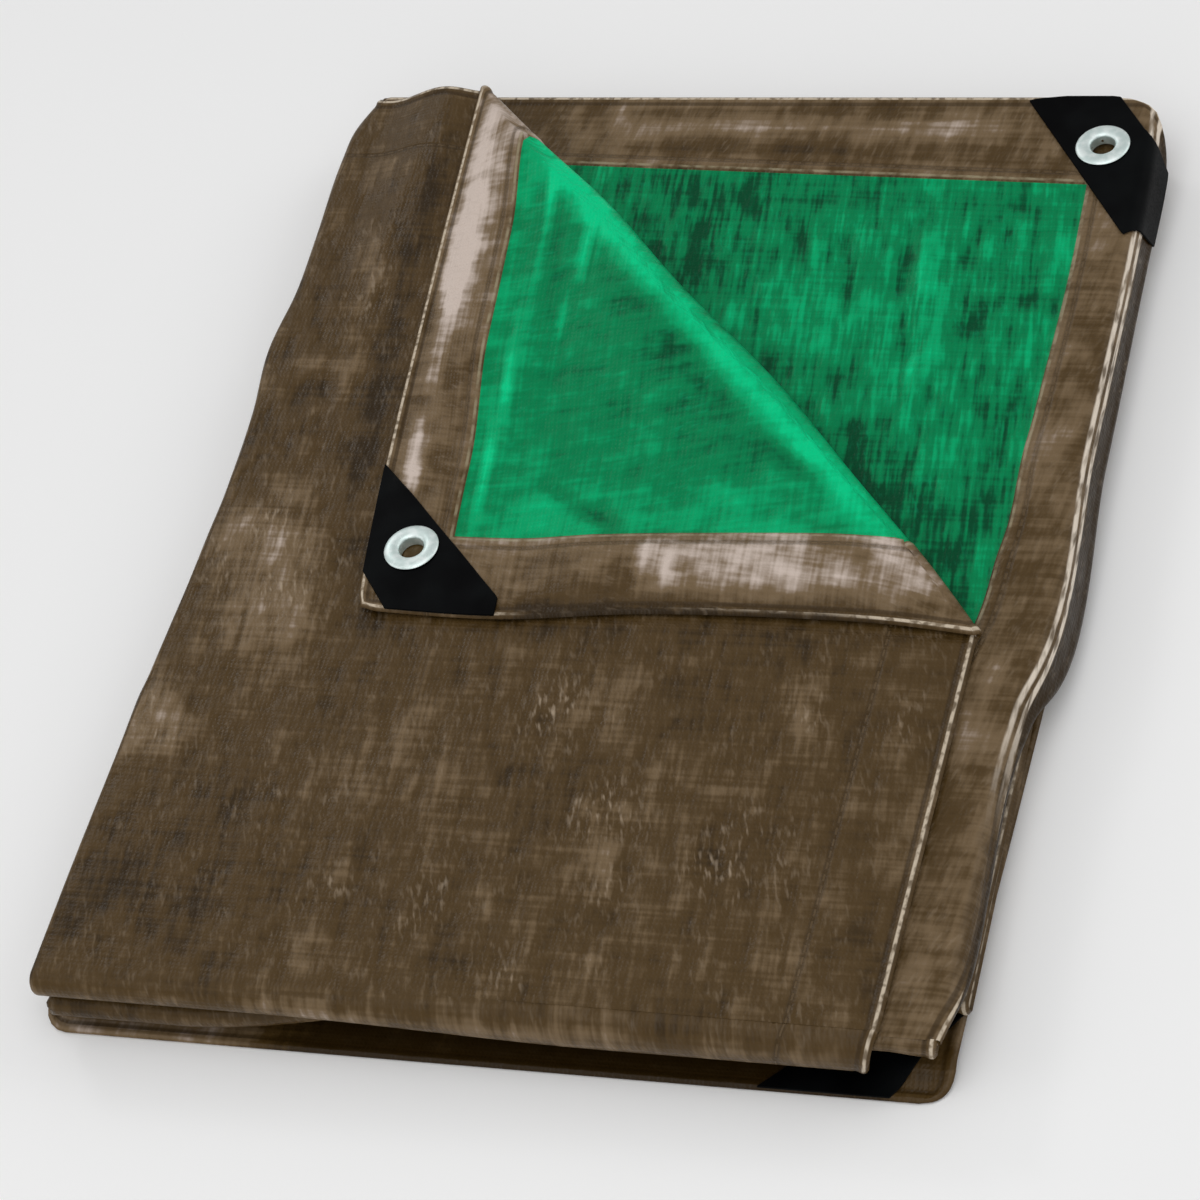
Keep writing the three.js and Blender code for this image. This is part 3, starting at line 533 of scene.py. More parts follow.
def add_section(surface, row, done):
    """One row of the doubled sheet, from A's right edge round the left fold to B's."""
    crease = row[1] if row[0] == "crease" else None
    back_hem = crease is not None and crease <= HEM_SHARE
    end_hem = back_hem or (row[0] == "end" and row[1] <= HEM_WIDTH)
    side_hem = end_hem or crease is None or crease >= 1
    x, y, z = point_a(row, COLUMNS_A)
    if on_top(row):
        z = z + strokes(x, y, CREASES_A)
    in_hem = (COLUMNS_A >= 1 - HEM_WIDTH / WIDTH_A - 1e-6) & side_hem | end_hem
    end = FAR if crease is None else crease * CREASE_REACH
    if row[0] == "end":
        end = row[1]
    numbers = [surface.add(x, y, z, in_hem, (-x, done), edge_at("A", row) - x, end)]
    body = point_b(row, COLUMNS_B, False)
    top = np.array([x[-1], y[-1], z[-1]])
    low = np.array([body[0][0], body[1][0], body[2][0]])
    middle, half = (top + low) / 2, (top - low) / 2
    angle = np.pi * np.arange(1, LEFT_FOLD_STEPS) / LEFT_FOLD_STEPS
    fold = middle + half * np.cos(angle)[:, None]
    fold[:, 0] -= np.linalg.norm(half) * np.sin(angle)
    numbers.append(surface.add(*fold.T, end_hem, (fold[:, 0], done), FAR, end))
    for share, inside in ((COLUMNS_B, False), (HEM_COLUMNS_B, True)):
        x, y, z, flat, side, beyond = point_b(row, share, inside)
        if on_top(row):
            z = z + strokes(flat, y, CREASES_B)
        numbers.append(surface.add(x, y, z, inside or end_hem, (flat, done), side, end, beyond))
    return np.concatenate(numbers)


def add_turned_corner(surface, a_edge):
    """The roll along the crease, and the corner turned back over the top."""
    hem = (CREASE_ROWS <= HEM_SHARE) | (CREASE_ROWS >= 1 - HEM_SHARE)
    slid = tapered(1 - CREASE_ROWS, CREASE_ROWS)[1]
    rows = [a_edge]
    for step in range(1, ROLL_STEPS + 1):
        angle = -math.pi / 2 + math.pi * step / ROLL_STEPS
        line, radius = crease_base(mix(CREASE_ROWS, slid, step / ROLL_STEPS))
        base = LAYERS["A"][0] + hump_at(line[:, 0], line[:, 1])
        at = line + (radius * math.cos(angle))[:, None] * OUT_OF_CREASE
        z = base + radius * (1 + math.sin(angle))
        flat = line + (radius * (angle + math.pi / 2))[:, None] * OUT_OF_CREASE
        end, side = CREASE_ROWS / HEM_SHARE * HEM_WIDTH, (1 - CREASE_ROWS) / HEM_SHARE * HEM_WIDTH
        rows.append(surface.add(at[:, 0], at[:, 1], z, hem, (-flat[:, 0], flat[:, 1]), side, end))
    surface.faces.append(grid_faces(np.stack(rows)))
    last = len(CREASE_ROWS) - 1
    corner = np.array([WIDTH_A, BACK_END["A"]], float)
    index = np.full((last + 1, last + 1), -1)
    for i in range(last + 1):
        j = np.arange(0, last - i)
        to_back = np.full(j.shape, 1 - CREASE_ROWS[last - i])
        to_right = CREASE_ROWS[j]
        if j.size:
            x, y, z = flap_point(to_back, to_right)
            z = z + strokes(x, y, CREASES_FLAP)
            flat = corner + to_back[:, None] * (CREASE_BACK - corner)
            flat = flat + to_right[:, None] * (CREASE_RIGHT - corner)
            near = (to_right <= HEM_SHARE) | (to_back <= HEM_SHARE)
            side, end = to_back / HEM_SHARE * HEM_WIDTH, to_right / HEM_SHARE * HEM_WIDTH
            index[i, : last - i] = surface.add(x, y, z, near, (-flat[:, 0], flat[:, 1]), side, end)
        index[i, last - i] = rows[-1][last - i]
    faces = []
    for i in range(last):
        j = np.arange(0, last - i)
        faces.append(np.stack([index[i, j], index[i + 1, j], index[i, j + 1]], 1))
        j = j[:-1]
        faces.append(np.stack([index[i + 1, j], index[i + 1, j + 1], index[i, j + 1]], 1))
    surface.faces.append(np.concatenate(faces))


def make_sheet_surface():
    surface = Surface()
    rows = make_rows()
    numbers = []
    done = 0.0
    before = None
    for row in rows:
        here = np.array([float(part[0]) for part in path(row, "A", np.full(1, MEASURED_AT))])
        done -= 0 if before is None else float(np.linalg.norm(here - before))
        before = here
        numbers.append(add_section(surface, row, done + BACK_END["A"]))
    numbers = np.stack(numbers)
    surface.faces.append(grid_faces(numbers))
    add_turned_corner(surface, numbers[: len(CREASE_ROWS), 0])
    surface.faces = list(np.concatenate(surface.faces))
    surface.join()
    surface.numbers = numbers
    return surface


def vertex_normals(points, faces):
    a, b, c = (points[faces[:, k]] for k in range(3))
    across = np.cross(b - a, c - a)
    normals = np.zeros_like(points)
    for k in range(3):
        np.add.at(normals, faces[:, k], across)
    length = np.linalg.norm(normals, axis=1, keepdims=True)
    return normals / np.maximum(length, 1e-12)


def open_edges(faces):
    """Edges that only one face has, in that face's direction."""
    edges = np.concatenate([faces[:, [0, 1]], faces[:, [1, 2]], faces[:, [2, 0]]])
    size = int(faces.max()) + 1
    forward = edges[:, 0].astype(np.int64) * size + edges[:, 1]
    backward = edges[:, 1].astype(np.int64) * size + edges[:, 0]
    return edges[~np.isin(forward, backward)]


def thicken(points, normals, faces, outer, inner, rim=0.35):
    """Closed shell between two offsets of a surface, its open edges rounded.

    Returns points, triangles, each triangle's kind (0 outer, 1 inner, 2 rim) and each
    point's number in the surface."""
    count = len(points)
    border = open_edges(faces)
    outward = np.zeros_like(points)
    way = points[border[:, 1]] - points[border[:, 0]]
    for k in range(2):
        side = np.cross(way, normals[border[:, k]])
        np.add.at(outward, border[:, k], side)
    length = np.linalg.norm(outward, axis=1, keepdims=True)
    outward = outward / np.maximum(length, 1e-12)
    ring = np.unique(border)
    place = np.full(count, -1)
    place[ring] = np.arange(len(ring)) + 2 * count
    thick = (outer - inner)[ring, None]
    middle = points[ring] + normals[ring] * ((outer + inner) / 2)[ring, None] + outward[ring] * thick * rim
    all_points = np.concatenate([
        points + normals * outer[:, None], points + normals * inner[:, None], middle,
    ])
    a, b = border[:, 0], border[:, 1]
    walls = [
        (b, a, place[a]), (b, place[a], place[b]),
        (place[b], place[a], a + count), (place[b], a + count, b + count),
    ]
    tris = np.concatenate([faces, faces[:, ::-1] + count] + [np.stack(wall, 1) for wall in walls])
    kinds = np.repeat([0, 1, 2], [len(faces), len(faces), 4 * len(border)])
    return all_points, tris, kinds, np.concatenate([np.arange(count), np.arange(count), ring])


def make_object(name, points, tris, materials, face_materials=None, flat=None, values=None, sharp=50):
    mesh = bpy.data.meshes.new(name)
    placed = (points - ORIGIN) / 1000
    mesh.from_pydata(placed.tolist(), [], tris.tolist())
    for material in materials:
        mesh.materials.append(material)
    if face_materials is not None:
        mesh.polygons.foreach_set("material_index", face_materials.astype(np.int32))
    mesh.polygons.foreach_set("use_smooth", np.ones(len(mesh.polygons), bool))
    if flat is not None:
        layer = mesh.uv_layers.new(name="flat")
        layer.data.foreach_set("uv", flat[tris.ravel()].astype(np.float32).ravel())
    for key, value in (values or {}).items():
        attribute = mesh.attributes.new(key, "FLOAT", "POINT")
        attribute.data.foreach_set("value", value.astype(np.float32))
    mesh.update()
    mesh.validate()
    mesh.set_sharp_from_angle(angle=math.radians(sharp))
    piece = bpy.data.objects.new(name, mesh)
    bpy.context.scene.collection.objects.link(piece)
    return piece


def without_hole(points, faces, center, low=-FAR):
    """Faces that stay clear of an eyelet's barrel, above a height."""
    middle = points[faces].mean(1)
    near = np.hypot(middle[:, 0] - center[0], middle[:, 1] - center[1]) < EYELET_CUT
    return faces[~(near & (middle[:, 2] > low))]


# Materials

def linear(code):
    """A screen colour, given as a hex number, as a linear colour."""
    channels = [(code >> shift & 255) / 255 for shift in (16, 8, 0)]
    return tuple(c / 12.92 if c <= 0.04045 else ((c + 0.055) / 1.055) ** 2.4 for c in channels) + (1.0,)


def new_material(name):
    material = bpy.data.materials.new(name)
    material.use_nodes = True
    return material, material.node_tree.nodes["Principled BSDF"]


def add(material, kind, inputs=None, **settings):
    """Adds a node; its inputs are values or other nodes' outputs."""
    node = material.node_tree.nodes.new(kind)
    for key, value in settings.items():
        setattr(node, key, value)
    for key, value in (inputs or {}).items():
        if isinstance(value, bpy.types.NodeSocket):
            material.node_tree.links.new(value, node.inputs[key])
        else:
            node.inputs[key].default_value = value
    return node


def link(material, output, socket):
    material.node_tree.links.new(output, socket)


def blend_colors(material, share, first, second):
    node = add(material, "ShaderNodeMix", data_type="RGBA")
    for position, value in ((0, share), (6, first), (7, second)):
        if isinstance(value, bpy.types.NodeSocket):
            link(material, value, node.inputs[position])
        else:
            node.inputs[position].default_value = value
    return node.outputs[2]


def flat_place(material):
    return add(material, "ShaderNodeUVMap", uv_map="flat").outputs["UV"]


def noise(material, size, detail=2.0, turn=0.0):
    """Noise on the flat cloth, whose spots have a size in mm along its two threads."""
    spots = add(material, "ShaderNodeMapping", {
        "Vector": flat_place(material), "Scale": (size[0], size[1], 1), "Rotation": (0, 0, turn),
    }, vector_type="TEXTURE")
    return add(material, "ShaderNodeTexNoise", {
        "Vector": spots.outputs["Vector"], "Scale": 1.0, "Detail": detail,
    }).outputs["Fac"]


def object_noise(material, scale, detail):
    """Noise in the part's own space, with its scale per metre."""
    place = add(material, "ShaderNodeTexCoord").outputs["Object"]
    inputs = {"Vector": place, "Scale": scale, "Detail": detail}
    return add(material, "ShaderNodeTexNoise", inputs).outputs["Fac"]


def add_bump(material, shader, height, strength, distance):
    inputs = {"Height": height, "Strength": strength, "Distance": distance}
    bump = add(material, "ShaderNodeBump", inputs)
    link(material, bump.outputs["Normal"], shader.inputs["Normal"])


def band(material, value, low, high, bottom=0.0, top=1.0):
    return add(material, "ShaderNodeMapRange", {
        "Value": value, "From Min": low, "From Max": high, "To Min": bottom, "To Max": top,
    }, interpolation_type="SMOOTHSTEP").outputs["Result"]


def math_node(material, operation, first, second=0.0):
    return add(material, "ShaderNodeMath", {0: first, 1: second}, operation=operation).outputs[0]


def times(material, first, second):
    return math_node(material, "MULTIPLY", first, second)


def attribute(material, name):
    return add(material, "ShaderNodeAttribute", attribute_name=name).outputs["Fac"]


def line_at(material, value, middle, half, soft):
    """1 along a line where a distance has a value, 0 away from it."""
    off = math_node(material, "ABSOLUTE", math_node(material, "SUBTRACT", value, middle))
    return band(material, off, half, half + soft, 1.0, 0.0)


STITCH = 5.5
HEM_SEAM = 35.5


def stitching(material):
    """Sewn lines of the hems: the stitches, and the groove that they draw in."""
    across, along, _ = add(material, "ShaderNodeSeparateXYZ", {0: flat_place(material)}).outputs
    lines = []
    for edge, way in (("side", along), ("end", across)):
        turns = math_node(material, "SINE", times(material, way, 2 * math.pi / STITCH))
        dash = band(material, turns, -0.6, -0.2)
        distance = attribute(material, edge)
        groove = line_at(material, distance, HEM_SEAM, 0.5, 1.2)
        thread = times(material, line_at(material, distance, HEM_SEAM, 0.3, 0.4), dash)
        lines.append((thread, groove))
    return [math_node(material, "MAXIMUM", lines[0][k], lines[1][k]) for k in (0, 1)]


def make_cloth(name, colors, turn, specular):
    """Coated woven polyethylene: soft dents, its warp and weft tapes, and pale flecks painted as glints.

    Colors go from dark to shine, then the painted glints'. Dark paints shade, pale and shine paint
    highlights, besides tone that differs at random. The streaks lean by the turn."""
    material, shader = new_material(name)
    shader.inputs["Specular IOR Level"].default_value = specular
    dark, base, pale, shine, glint_color = (linear(code) for code in colors)
    clouds = noise(material, (50, 66), 3.0)
    dents = noise(material, (11, 17), 3.0)
    waves = noise(material, (5, 24), 3.0, turn / 2)
    warp = noise(material, (2.2, 40), 1.5, turn / 3)
    weft = noise(material, (50, 2.4), 1.0)
    flecks = noise(material, (1.9, 7), 1.5, turn)
    gathered = band(material, noise(material, (22, 30), 2.0), 0.4, 0.62, 0.2, 1)
    painted_glints = times(material, attribute(material, "painted_glints"), gathered)
    tone_and_light_level = attribute(material, "tone_and_painted_light")
    for value, size in ((clouds, 0.35), (dents, 0.35), (weft, 0.16)):
        tone_and_light_level = math_node(material, "ADD", tone_and_light_level, band(material, value, 0.1, 0.9, -size, size))
    for value in (waves, warp):
        streak = times(material, band(material, value, 0.1, 0.9, -1, 1), attribute(material, "streaks"))
        tone_and_light_level = math_node(material, "ADD", tone_and_light_level, streak)
    # spots: painted glints on the flecks; hollow shade: painted shade beside them
    spots = times(material, band(material, flecks, 0.5, 0.8), painted_glints)
    hollow_shade = times(material, band(material, flecks, 0.42, 0.2, 0, 0.3), painted_glints)
    thread, groove = stitching(material)
    # Tone that differs at random, painted shade and painted highlights from dark to shine, then hollow
    # shade, painted glints, the seam's groove and its thread
    color = dark
    for share, shade in (
        (band(material, tone_and_light_level, -0.7, 0), base), (band(material, tone_and_light_level, 0, 0.6), pale),
        (band(material, tone_and_light_level, 0.55, 1.3), shine), (hollow_shade, dark), (spots, glint_color),
        (times(material, groove, 0.4), dark), (times(material, thread, 0.3), pale),
    ):
        color = blend_colors(material, share, color, shade)
    link(material, color, shader.inputs["Base Color"])
    link(material, band(material, dents, 0.3, 0.7, 0.34, 0.44), shader.inputs["Roughness"])
    threads = [
        add(material, "ShaderNodeTexWave", {
            "Vector": flat_place(material), "Scale": 0.17, "Distortion": 0.5, "Detail": 1.0,
        }, bands_direction=way).outputs["Fac"]
        for way in "XY"
    ]
    height = times(material, math_node(material, "MAXIMUM", *threads), 0.08)
    relief = ((dents, 1.9), (flecks, 0.2), (warp, 0.12), (weft, 0.1), (thread, 0.25), (groove, -0.3))
    for value, size in relief:
        height = math_node(material, "ADD", height, times(material, value, size))
    add_bump(material, shader, height, 1.0, 0.001)
    return material, color, shader


# Brown coated outside of the tarp, which its hems show too: a pale line where a hem ends, painted
# highlights along its edges and on the side bend, and painted shade in the furrow beside an edge
brown, brown_color, brown_shader = make_cloth(
    "brown coated woven polyethylene", (0x2E2009, 0x4C391C, 0x735F45, 0xCDBDB2, 0xA4927C),
    turn=math.radians(-18), specular=0.2,
)
distance = math_node(brown, "MINIMUM", attribute(brown, "side"), attribute(brown, "end"))
worn = noise(brown, (7, 7), 2.0)
broken = band(brown, noise(brown, (3, 5), 2.0), 0.36, 0.56, 0.2, 0.9)
blotches = band(brown, noise(brown, (2.5, 14), 2.0), 0.34, 0.56, 0.15, 1)
hem_end = times(brown, line_at(brown, distance, 39.7, 0.3, 0.7), attribute(brown, "inside"))
hem_end = times(brown, hem_end, band(brown, worn, 0.35, 0.6, 0.05, 0.5))
# Painted shade in the furrow beside the edge's bead
furrow_shade = times(brown, line_at(brown, distance, 3.9, 0.5, 0.9), 0.6)
# rim: painted highlight along the free edges, broken up, left out where the sheet is painted dark or has no
# painted glints
rim = times(brown, line_at(brown, distance, 1.0, 0.4, 0.6), broken)
rim = times(brown, rim, band(brown, attribute(brown, "tone_and_painted_light"), -0.5, 0))
rim = times(brown, rim, band(brown, attribute(brown, "painted_glints"), 0, 0.1))
beyond = attribute(brown, "beyond")
# bend: painted highlights on the shoulder of the side bend and just past it, in blotches, fading out
# towards the front
bend_highlight_lines = (line_at(brown, beyond, -2.4, 0.5, 0.9), line_at(brown, beyond, 1.6, 0.8, 0.8))
bend = math_node(brown, "MAXIMUM", *bend_highlight_lines)
place = add(brown, "ShaderNodeTexCoord").outputs["Object"]
along = add(brown, "ShaderNodeSeparateXYZ", {0: place}).outputs["Y"]
bend = times(brown, bend, times(brown, blotches, band(brown, along, -0.15, -0.06)))
edged = brown_color
for share, code in ((hem_end, 0xA9A184), (furrow_shade, 0x2F2008), (rim, 0xCFC0AA), (bend, 0xE0D3C2)):
    edged = blend_colors(brown, share, edged, linear(code))
link(brown, edged, brown_shader.inputs["Base Color"])

# Green coated inside of the tarp
green, _, _ = make_cloth(
    "green coated woven polyethylene", (0x00482A, 0x00804D, 0x00A468, 0x00CC88, 0x08B881),
    turn=math.radians(18), specular=0.08,
)


def make_patch_material():
    # Smooth black polyethylene of the corner patches
    material, shader = new_material("smooth black polyethylene")
    shader.inputs["Specular IOR Level"].default_value = 0.04
    grain = object_noise(material, 900.0, 3.0)
    waves = object_noise(material, 45.0, 2.0)
    color = blend_colors(material, band(material, waves, 0.3, 0.75), linear(0x020203), linear(0x0A0C0D))
    link(material, color, shader.inputs["Base Color"])
    link(material, band(material, grain, 0.3, 0.7, 0.34, 0.5), shader.inputs["Roughness"])
    height = math_node(material, "ADD", times(material, waves, 0.8), times(material, grain, 0.06))
    add_bump(material, shader, height, 0.5, 0.001)
    return material


def make_eyelet_material():
    # Bright rolled aluminium of the eyelets, satin
    material, shader = new_material("rolled aluminium")
    wear = object_noise(material, 300.0, 3.0)
    color = blend_colors(material, band(material, wear, 0.35, 0.7), linear(0xDCECE9), linear(0xF2FBF9))
    link(material, color, shader.inputs["Base Color"])
    shader.inputs["Metallic"].default_value = 0.8
    link(material, band(material, wear, 0.3, 0.7, 0.4, 0.5), shader.inputs["Roughness"])
    add_bump(material, shader, wear, 0.15, 0.0003)
    return material


black = make_patch_material()
metal = make_eyelet_material()

# The tarp

sheet = make_sheet_surface()
normals = vertex_normals(sheet.points, sheet.faces)
faces = without_hole(sheet.points, sheet.faces, FLAP_EYELET, low=BELOW_FLAP)
faces = without_hole(sheet.points, faces, BACK_EYELET, low=BELOW_LAYER_B)
nearest = np.minimum(sheet.side, sheet.end)
columns_a = len(COLUMNS_A)
tone_and_painted_light = np.zeros(len(sheet.points))
painted_glints = np.full(len(sheet.points), PAINTED_GLINTS_ALL)
streaks = np.full(len(sheet.points), STREAKS["A"])
top_rows = sheet.numbers[: len(CREASE_ROWS) + len(AHEAD_ROWS) + TURN_STEPS[0] + 1]
top_a, top_b = top_rows[:, :columns_a].ravel(), top_rows[:, columns_a:].ravel()
bottom_end = sheet.numbers[-len(END_ROWS):].ravel()


def marked(part, marks):
    return strokes(sheet.points[part, 0], sheet.points[part, 1], marks)


# Painted highlights and shade with some tone, plus painted shade in crease troughs and painted highlight on
# crease ridges
for name, part, marks, wrinkles in (
    ("A", top_a, PAINTED_LIGHT_AND_TONE_A, CREASES_A), ("B", top_b, PAINTED_LIGHT_AND_TONE_B, CREASES_B),
    ("flap", np.arange(sheet.numbers.size, len(sheet.points)), PAINTED_LIGHT_AND_TONE_FLAP, CREASES_FLAP),
):
    tone_and_painted_light[part] = marked(part, marks) + WRINKLE_SHADE_AND_HIGHLIGHT[name] * marked(part, wrinkles)
    streaks[part] = STREAKS[name]
painted_glints[top_a] += marked(top_a, PAINTED_GLINTS_A)
# Painted shade under the upper fold and painted highlights on the bottom layer's front end
tone_and_painted_light[bottom_end] += marked(bottom_end, PAINTED_LIGHT_AND_TONE_END)
painted_glints[bottom_end] = 0
bead = np.interp(nearest, NEAR_EDGE, BEAD)
lowest = sheet.points[:, 2] < LOWEST_LAYER_TOP
outer = HALF + bead * ~lowest
inner = -HALF - HEM_EXTRA * sheet.hem - bead
points, tris, kinds, source = thicken(sheet.points, normals, faces, outer, inner)
kinds_of = np.repeat([0, 1, 2], [len(sheet.points), len(sheet.points), len(source) - 2 * len(sheet.points)])
# Hems' inner faces are paler, and the side past the bend gets painted shade
hem_tone_and_bend_shade = HEM_TONE * (kinds_of == 1) * sheet.hem[source] - BEND_SHADE * ramp(sheet.beyond[source], 2.5, 4)
bare = ~sheet.hem[source[tris]].any(1)
tarp = make_object(
    "tarp_sheet", points, tris, [brown, green], ((kinds == 1) & bare).astype(int),
    sheet.flat[source], {
        "side": sheet.side[source], "end": sheet.end[source], "beyond": sheet.beyond[source],
        "inside": (kinds_of == 1) * 1.0, "tone_and_painted_light": tone_and_painted_light[source] + hem_tone_and_bend_shade,
        "painted_glints": painted_glints[source], "streaks": mix(streaks, HEM_STREAKS, sheet.hem)[source],
    },
)
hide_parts("tarp")
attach(tarp, "root")

# Patches over the corners

def clip(points, faces, lines):
    """The part of a surface that lies behind upright planes, each through a line's two points."""
    shape = bmesh.new()
    verts = [shape.verts.new(point) for point in points]
    for face in faces:
        shape.faces.new([verts[k] for k in face])
    for (x1, y1), (x2, y2) in lines:
        normal = Vector((y2 - y1, x1 - x2, 0))
        geometry = shape.verts[:] + shape.edges[:] + shape.faces[:]
        bmesh.ops.bisect_plane(
            shape, geom=geometry, dist=1e-4, plane_co=(x1, y1, 0), plane_no=normal, clear_outer=True,
        )
    bmesh.ops.triangulate(shape, faces=shape.faces[:])
    shape.verts.index_update()
    cut_points = np.array([vert.co[:] for vert in shape.verts])
    cut_faces = np.array([[vert.index for vert in face.verts] for face in shape.faces])
    shape.free()
    return cut_points, cut_faces


def make_patch(name, points, faces, side, hole=None):
    """A patch on a surface, on the side that its normals point away from or to."""
    if hole:
        faces = without_hole(points, faces, hole)
    used = np.unique(faces)
    renumber = np.full(len(points), -1)
    renumber[used] = np.arange(len(used))
    points, faces = points[used], renumber[faces]
    normals = vertex_normals(points, faces) * side
    if side < 0:
        faces = faces[:, ::-1]
    low = np.full(len(points), HALF + HEM_EXTRA + PIECE_GAP)
    closed, tris, _, _ = thicken(points, normals, faces, low + PATCH_THICKNESS, low)
    patch = make_object(name, closed, tris, [black])
    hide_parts(name.rsplit("_", 1)[0])
    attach(patch, "root")
    return patch


def flap_patch_surface():
    """Grid over the patch's outline, by distances from the corner along its two edges."""
    size = FLAP_PATCH
    tall = np.linalg.norm(CREASE_BACK - FLAP_TIP)
    wide = np.linalg.norm(CREASE_RIGHT - FLAP_TIP)
    s = np.linspace(0, 1, 46)[None, :]
    t = np.linspace(0, 1, 30)[:, None]
    corner = 0.88
    first, second = np.minimum(s / corner, 1), np.maximum((s - corner) / (1 - corner), 0)
    inner = (mix(size["tall"], size["side"], first) - size["side"] * second, size["wide"] * first)
    cut = (size["tall_cut"] * (1 - s), size["wide_cut"] * s)
    up, across = mix(cut[0], inner[0], t), mix(cut[1], inner[1], t)
    x, y, z = flap_point(up / tall, across / wide)
    z = z + strokes(x, y, CREASES_FLAP)
    numbers = np.arange(x.size).reshape(x.shape)
    return np.stack([x.ravel(), y.ravel(), z.ravel()], 1), grid_faces(numbers)


def hem_surface(rows):
    """Grid over the right hem of layer B, for a list of rows."""
    share = np.linspace(-1.4, 1, 80)
    parts = []
    for row in rows:
        x, y, z, flat, _, _ = point_b(row, share, True)
        if row[2] == 0:
            z = z + strokes(flat, y, CREASES_B)
        parts.append(np.stack(np.broadcast_arrays(x, y, z), 1))
    numbers = np.arange(len(rows) * len(share)).reshape(len(rows), -1)
    return np.concatenate(parts), grid_faces(numbers)


flap_points, flap_faces = flap_patch_surface()
patches = [make_patch("flap_patch_cover", flap_points, flap_faces, 1, FLAP_EYELET)]
back_rows = [("crease", share, 0, 0) for share in np.linspace(0, 0.3, 60)]
back = BACK_PATCH
cut = clip(*hem_surface(back_rows), (back["inner"], back["outer"][::-1], back["end"]))
patches.append(make_patch("back_patch_cover", *cut, -1, BACK_EYELET))
end_rows = [("end", mm, PANELS - 1, 2 * PANELS - 1) for mm in np.linspace(78, 0, 60)]
end = END_PATCH
cut = clip(*hem_surface(end_rows), (end["inner"][::-1], end["outer"]))
patches.append(make_patch("end_patch_cover", *cut, -1))

# Eyelets, each a rolled ring with a flange on both faces of the cloth

def make_eyelet(name, center, back, face):
    low, high = back - PIECE_GAP, face + PIECE_GAP
    profile = [
        (5.5, low - 0.8), (10.3, low - 0.8), (10.7, low - 0.62), (10.8, low - 0.4), (10.7, low - 0.15),
        (10.4, low), (6.4, low), (6.4, high), (11.6, high), (11.85, high + 0.06), (12, high + 0.27),
        (11.8, high + 0.55), (11.2, high + 0.85), (10.4, high + 1.1), (9.4, high + 1.27), (8.3, high + 1.3),
        (7.3, high + 1.22), (6.5, high + 0.98), (5.9, high + 0.66), (5.58, high + 0.25), (5.5, high - 0.2),
    ]
    sides = 96
    angle = np.linspace(0, 2 * np.pi, sides, endpoint=False)
    radius, z = np.array(profile).T
    x = center[0] + radius[:, None] * np.cos(angle)
    y = center[1] + radius[:, None] * np.sin(angle)
    points = np.stack([x.ravel(), y.ravel(), np.broadcast_to(z[:, None], x.shape).ravel()], 1)
    numbers = np.arange(x.size).reshape(x.shape)
    faces = grid_faces(np.pad(numbers, ((0, 1), (0, 1)), "wrap"))[:, ::-1]
    ring = make_object(name, points, faces, [metal], sharp=55)
    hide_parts(name.rsplit("_", 1)[0])
    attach(ring, "root")
    return ring


flap_face = LAYERS["A"][0] + FLAP_REST_GAP + HALF + HEM_EXTRA + PIECE_GAP + PATCH_THICKNESS
back_face = LAYERS["B"][0] + HALF + HEM_EXTRA + PIECE_GAP + PATCH_THICKNESS
eyelets = [
    make_eyelet("flap_eyelet_ring", FLAP_EYELET, LAYERS["A"][0] + FLAP_REST_GAP - HALF, flap_face),
    make_eyelet("back_eyelet_ring", BACK_EYELET, LAYERS["B"][0] - HALF, back_face),
]

# Floor, lights and camera, in metres

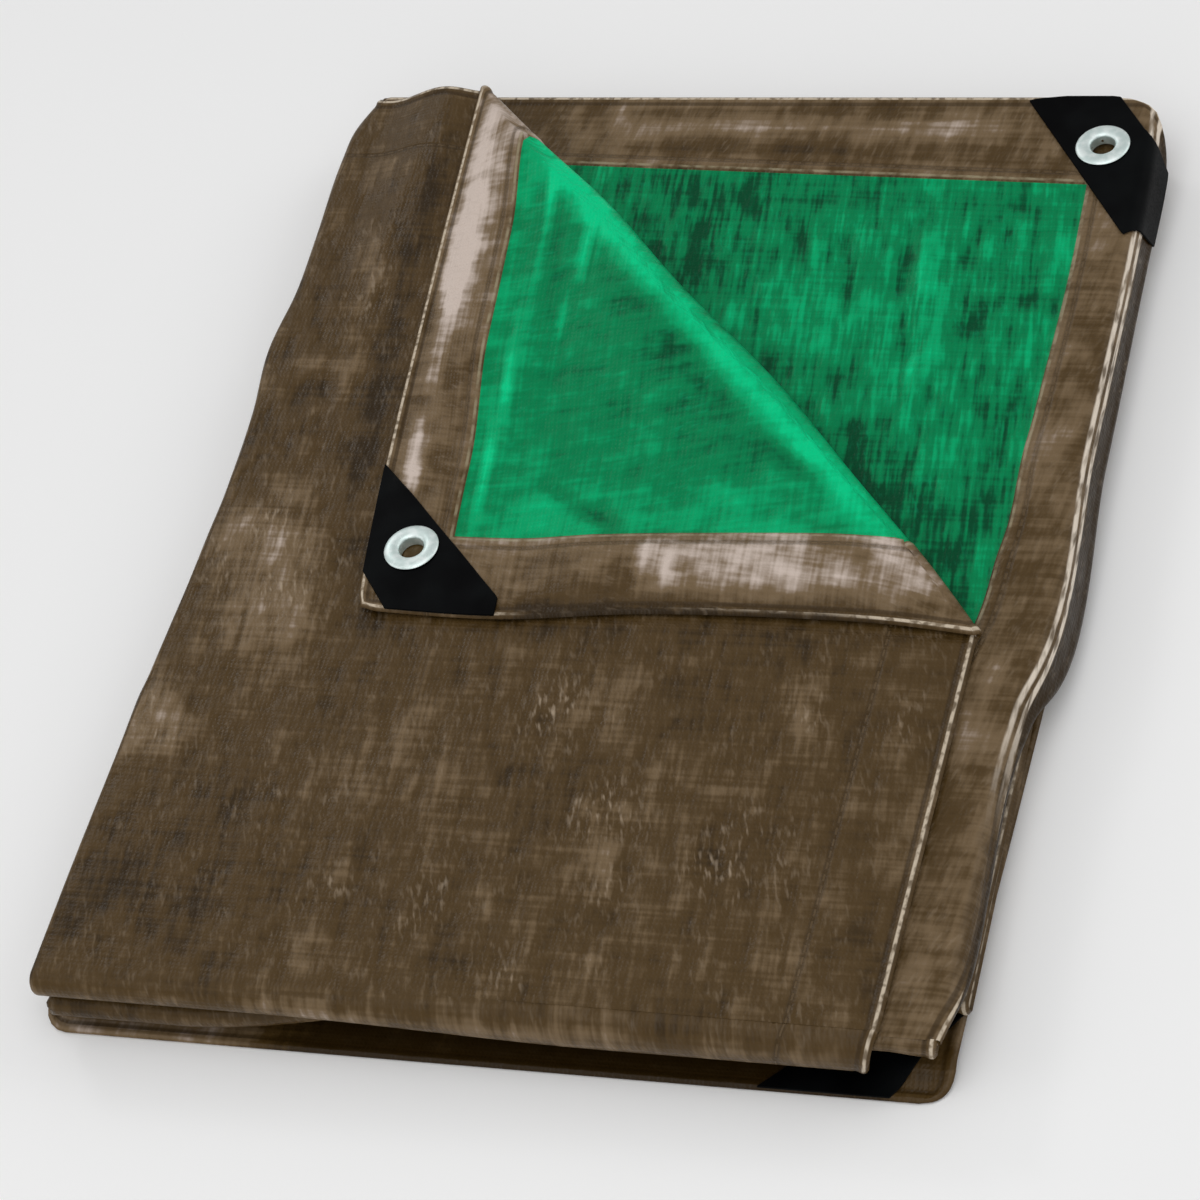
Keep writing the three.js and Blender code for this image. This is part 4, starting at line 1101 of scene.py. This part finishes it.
LIGHTS = [
    # Name, direction, distance, size and power in watts
    ("top softbox", (0.1, -0.2, 1.0), 2.4, 1.8, 14),
    ("front softbox", (0.25, -1.0, 0.85), 2.4, 1.4, 7),
    ("left softbox", (-1.0, -0.4, 0.75), 2.4, 1.2, 5),
    ("back right softbox", (1.0, 0.6, 0.8), 2.4, 1.2, 6),
    ("back left key", (-1.85, 1.5, 1.6), 2.87, 0.45, 5),
]
SURROUNDINGS = 0.48
CAMERA_LENS = 123.96
CAMERA_PLACE = (0.589568, -1.031787, 1.292737)
CAMERA_RIGHT = (0.937533, 0.248298, -0.243679)
CAMERA_UP = (-0.042157, 0.776358, 0.628881)
CAMERA_BACK = (0.345332, -0.579324, 0.738329)


def make_floor():
    # Plain pale studio floor
    material, shader = new_material("plain pale floor")
    shader.inputs["Base Color"].default_value = linear(0xF8F8F8)
    shader.inputs["Roughness"].default_value = 1.0
    shader.inputs["Specular IOR Level"].default_value = 0.0
    mesh = bpy.data.meshes.new("floor")
    reach = 6
    corners = [(-reach, -reach, 0), (reach, -reach, 0), (reach, reach, 0), (-reach, reach, 0)]
    mesh.from_pydata(corners, [], [(0, 1, 2, 3)])
    mesh.materials.append(material)
    floor = bpy.data.objects.new("floor", mesh)
    bpy.context.scene.collection.objects.link(floor)


def make_light(name, way, distance, size, power):
    """Square soft light, aimed at the middle of the packet from a direction."""
    data = bpy.data.lights.new(name, "AREA")
    data.shape, data.size, data.energy = "SQUARE", size, power
    lamp = bpy.data.objects.new(name, data)
    way = Vector(way).normalized()
    lamp.location = way * distance
    lamp.rotation_mode = "QUATERNION"
    lamp.rotation_quaternion = way.to_track_quat("Z", "Y")
    bpy.context.scene.collection.objects.link(lamp)


def make_camera():
    data = bpy.data.cameras.new("camera")
    data.lens, data.sensor_width, data.sensor_fit = CAMERA_LENS, 36, "HORIZONTAL"
    data.clip_start, data.clip_end = 0.05, 50
    camera = bpy.data.objects.new("camera", data)
    turned = Matrix((CAMERA_RIGHT, CAMERA_UP, CAMERA_BACK)).transposed().to_4x4()
    camera.matrix_world = Matrix.Translation(CAMERA_PLACE) @ turned
    bpy.context.scene.collection.objects.link(camera)
    bpy.context.scene.camera = camera


make_floor()
for light in LIGHTS:
    make_light(*light)
world = bpy.data.worlds.new("studio")
world.use_nodes = True
background = world.node_tree.nodes["Background"]
background.inputs["Color"].default_value = (1, 1, 1, 1)
background.inputs["Strength"].default_value = SURROUNDINGS
bpy.context.scene.world = world
bpy.context.scene.view_settings.view_transform = "Standard"
make_camera()
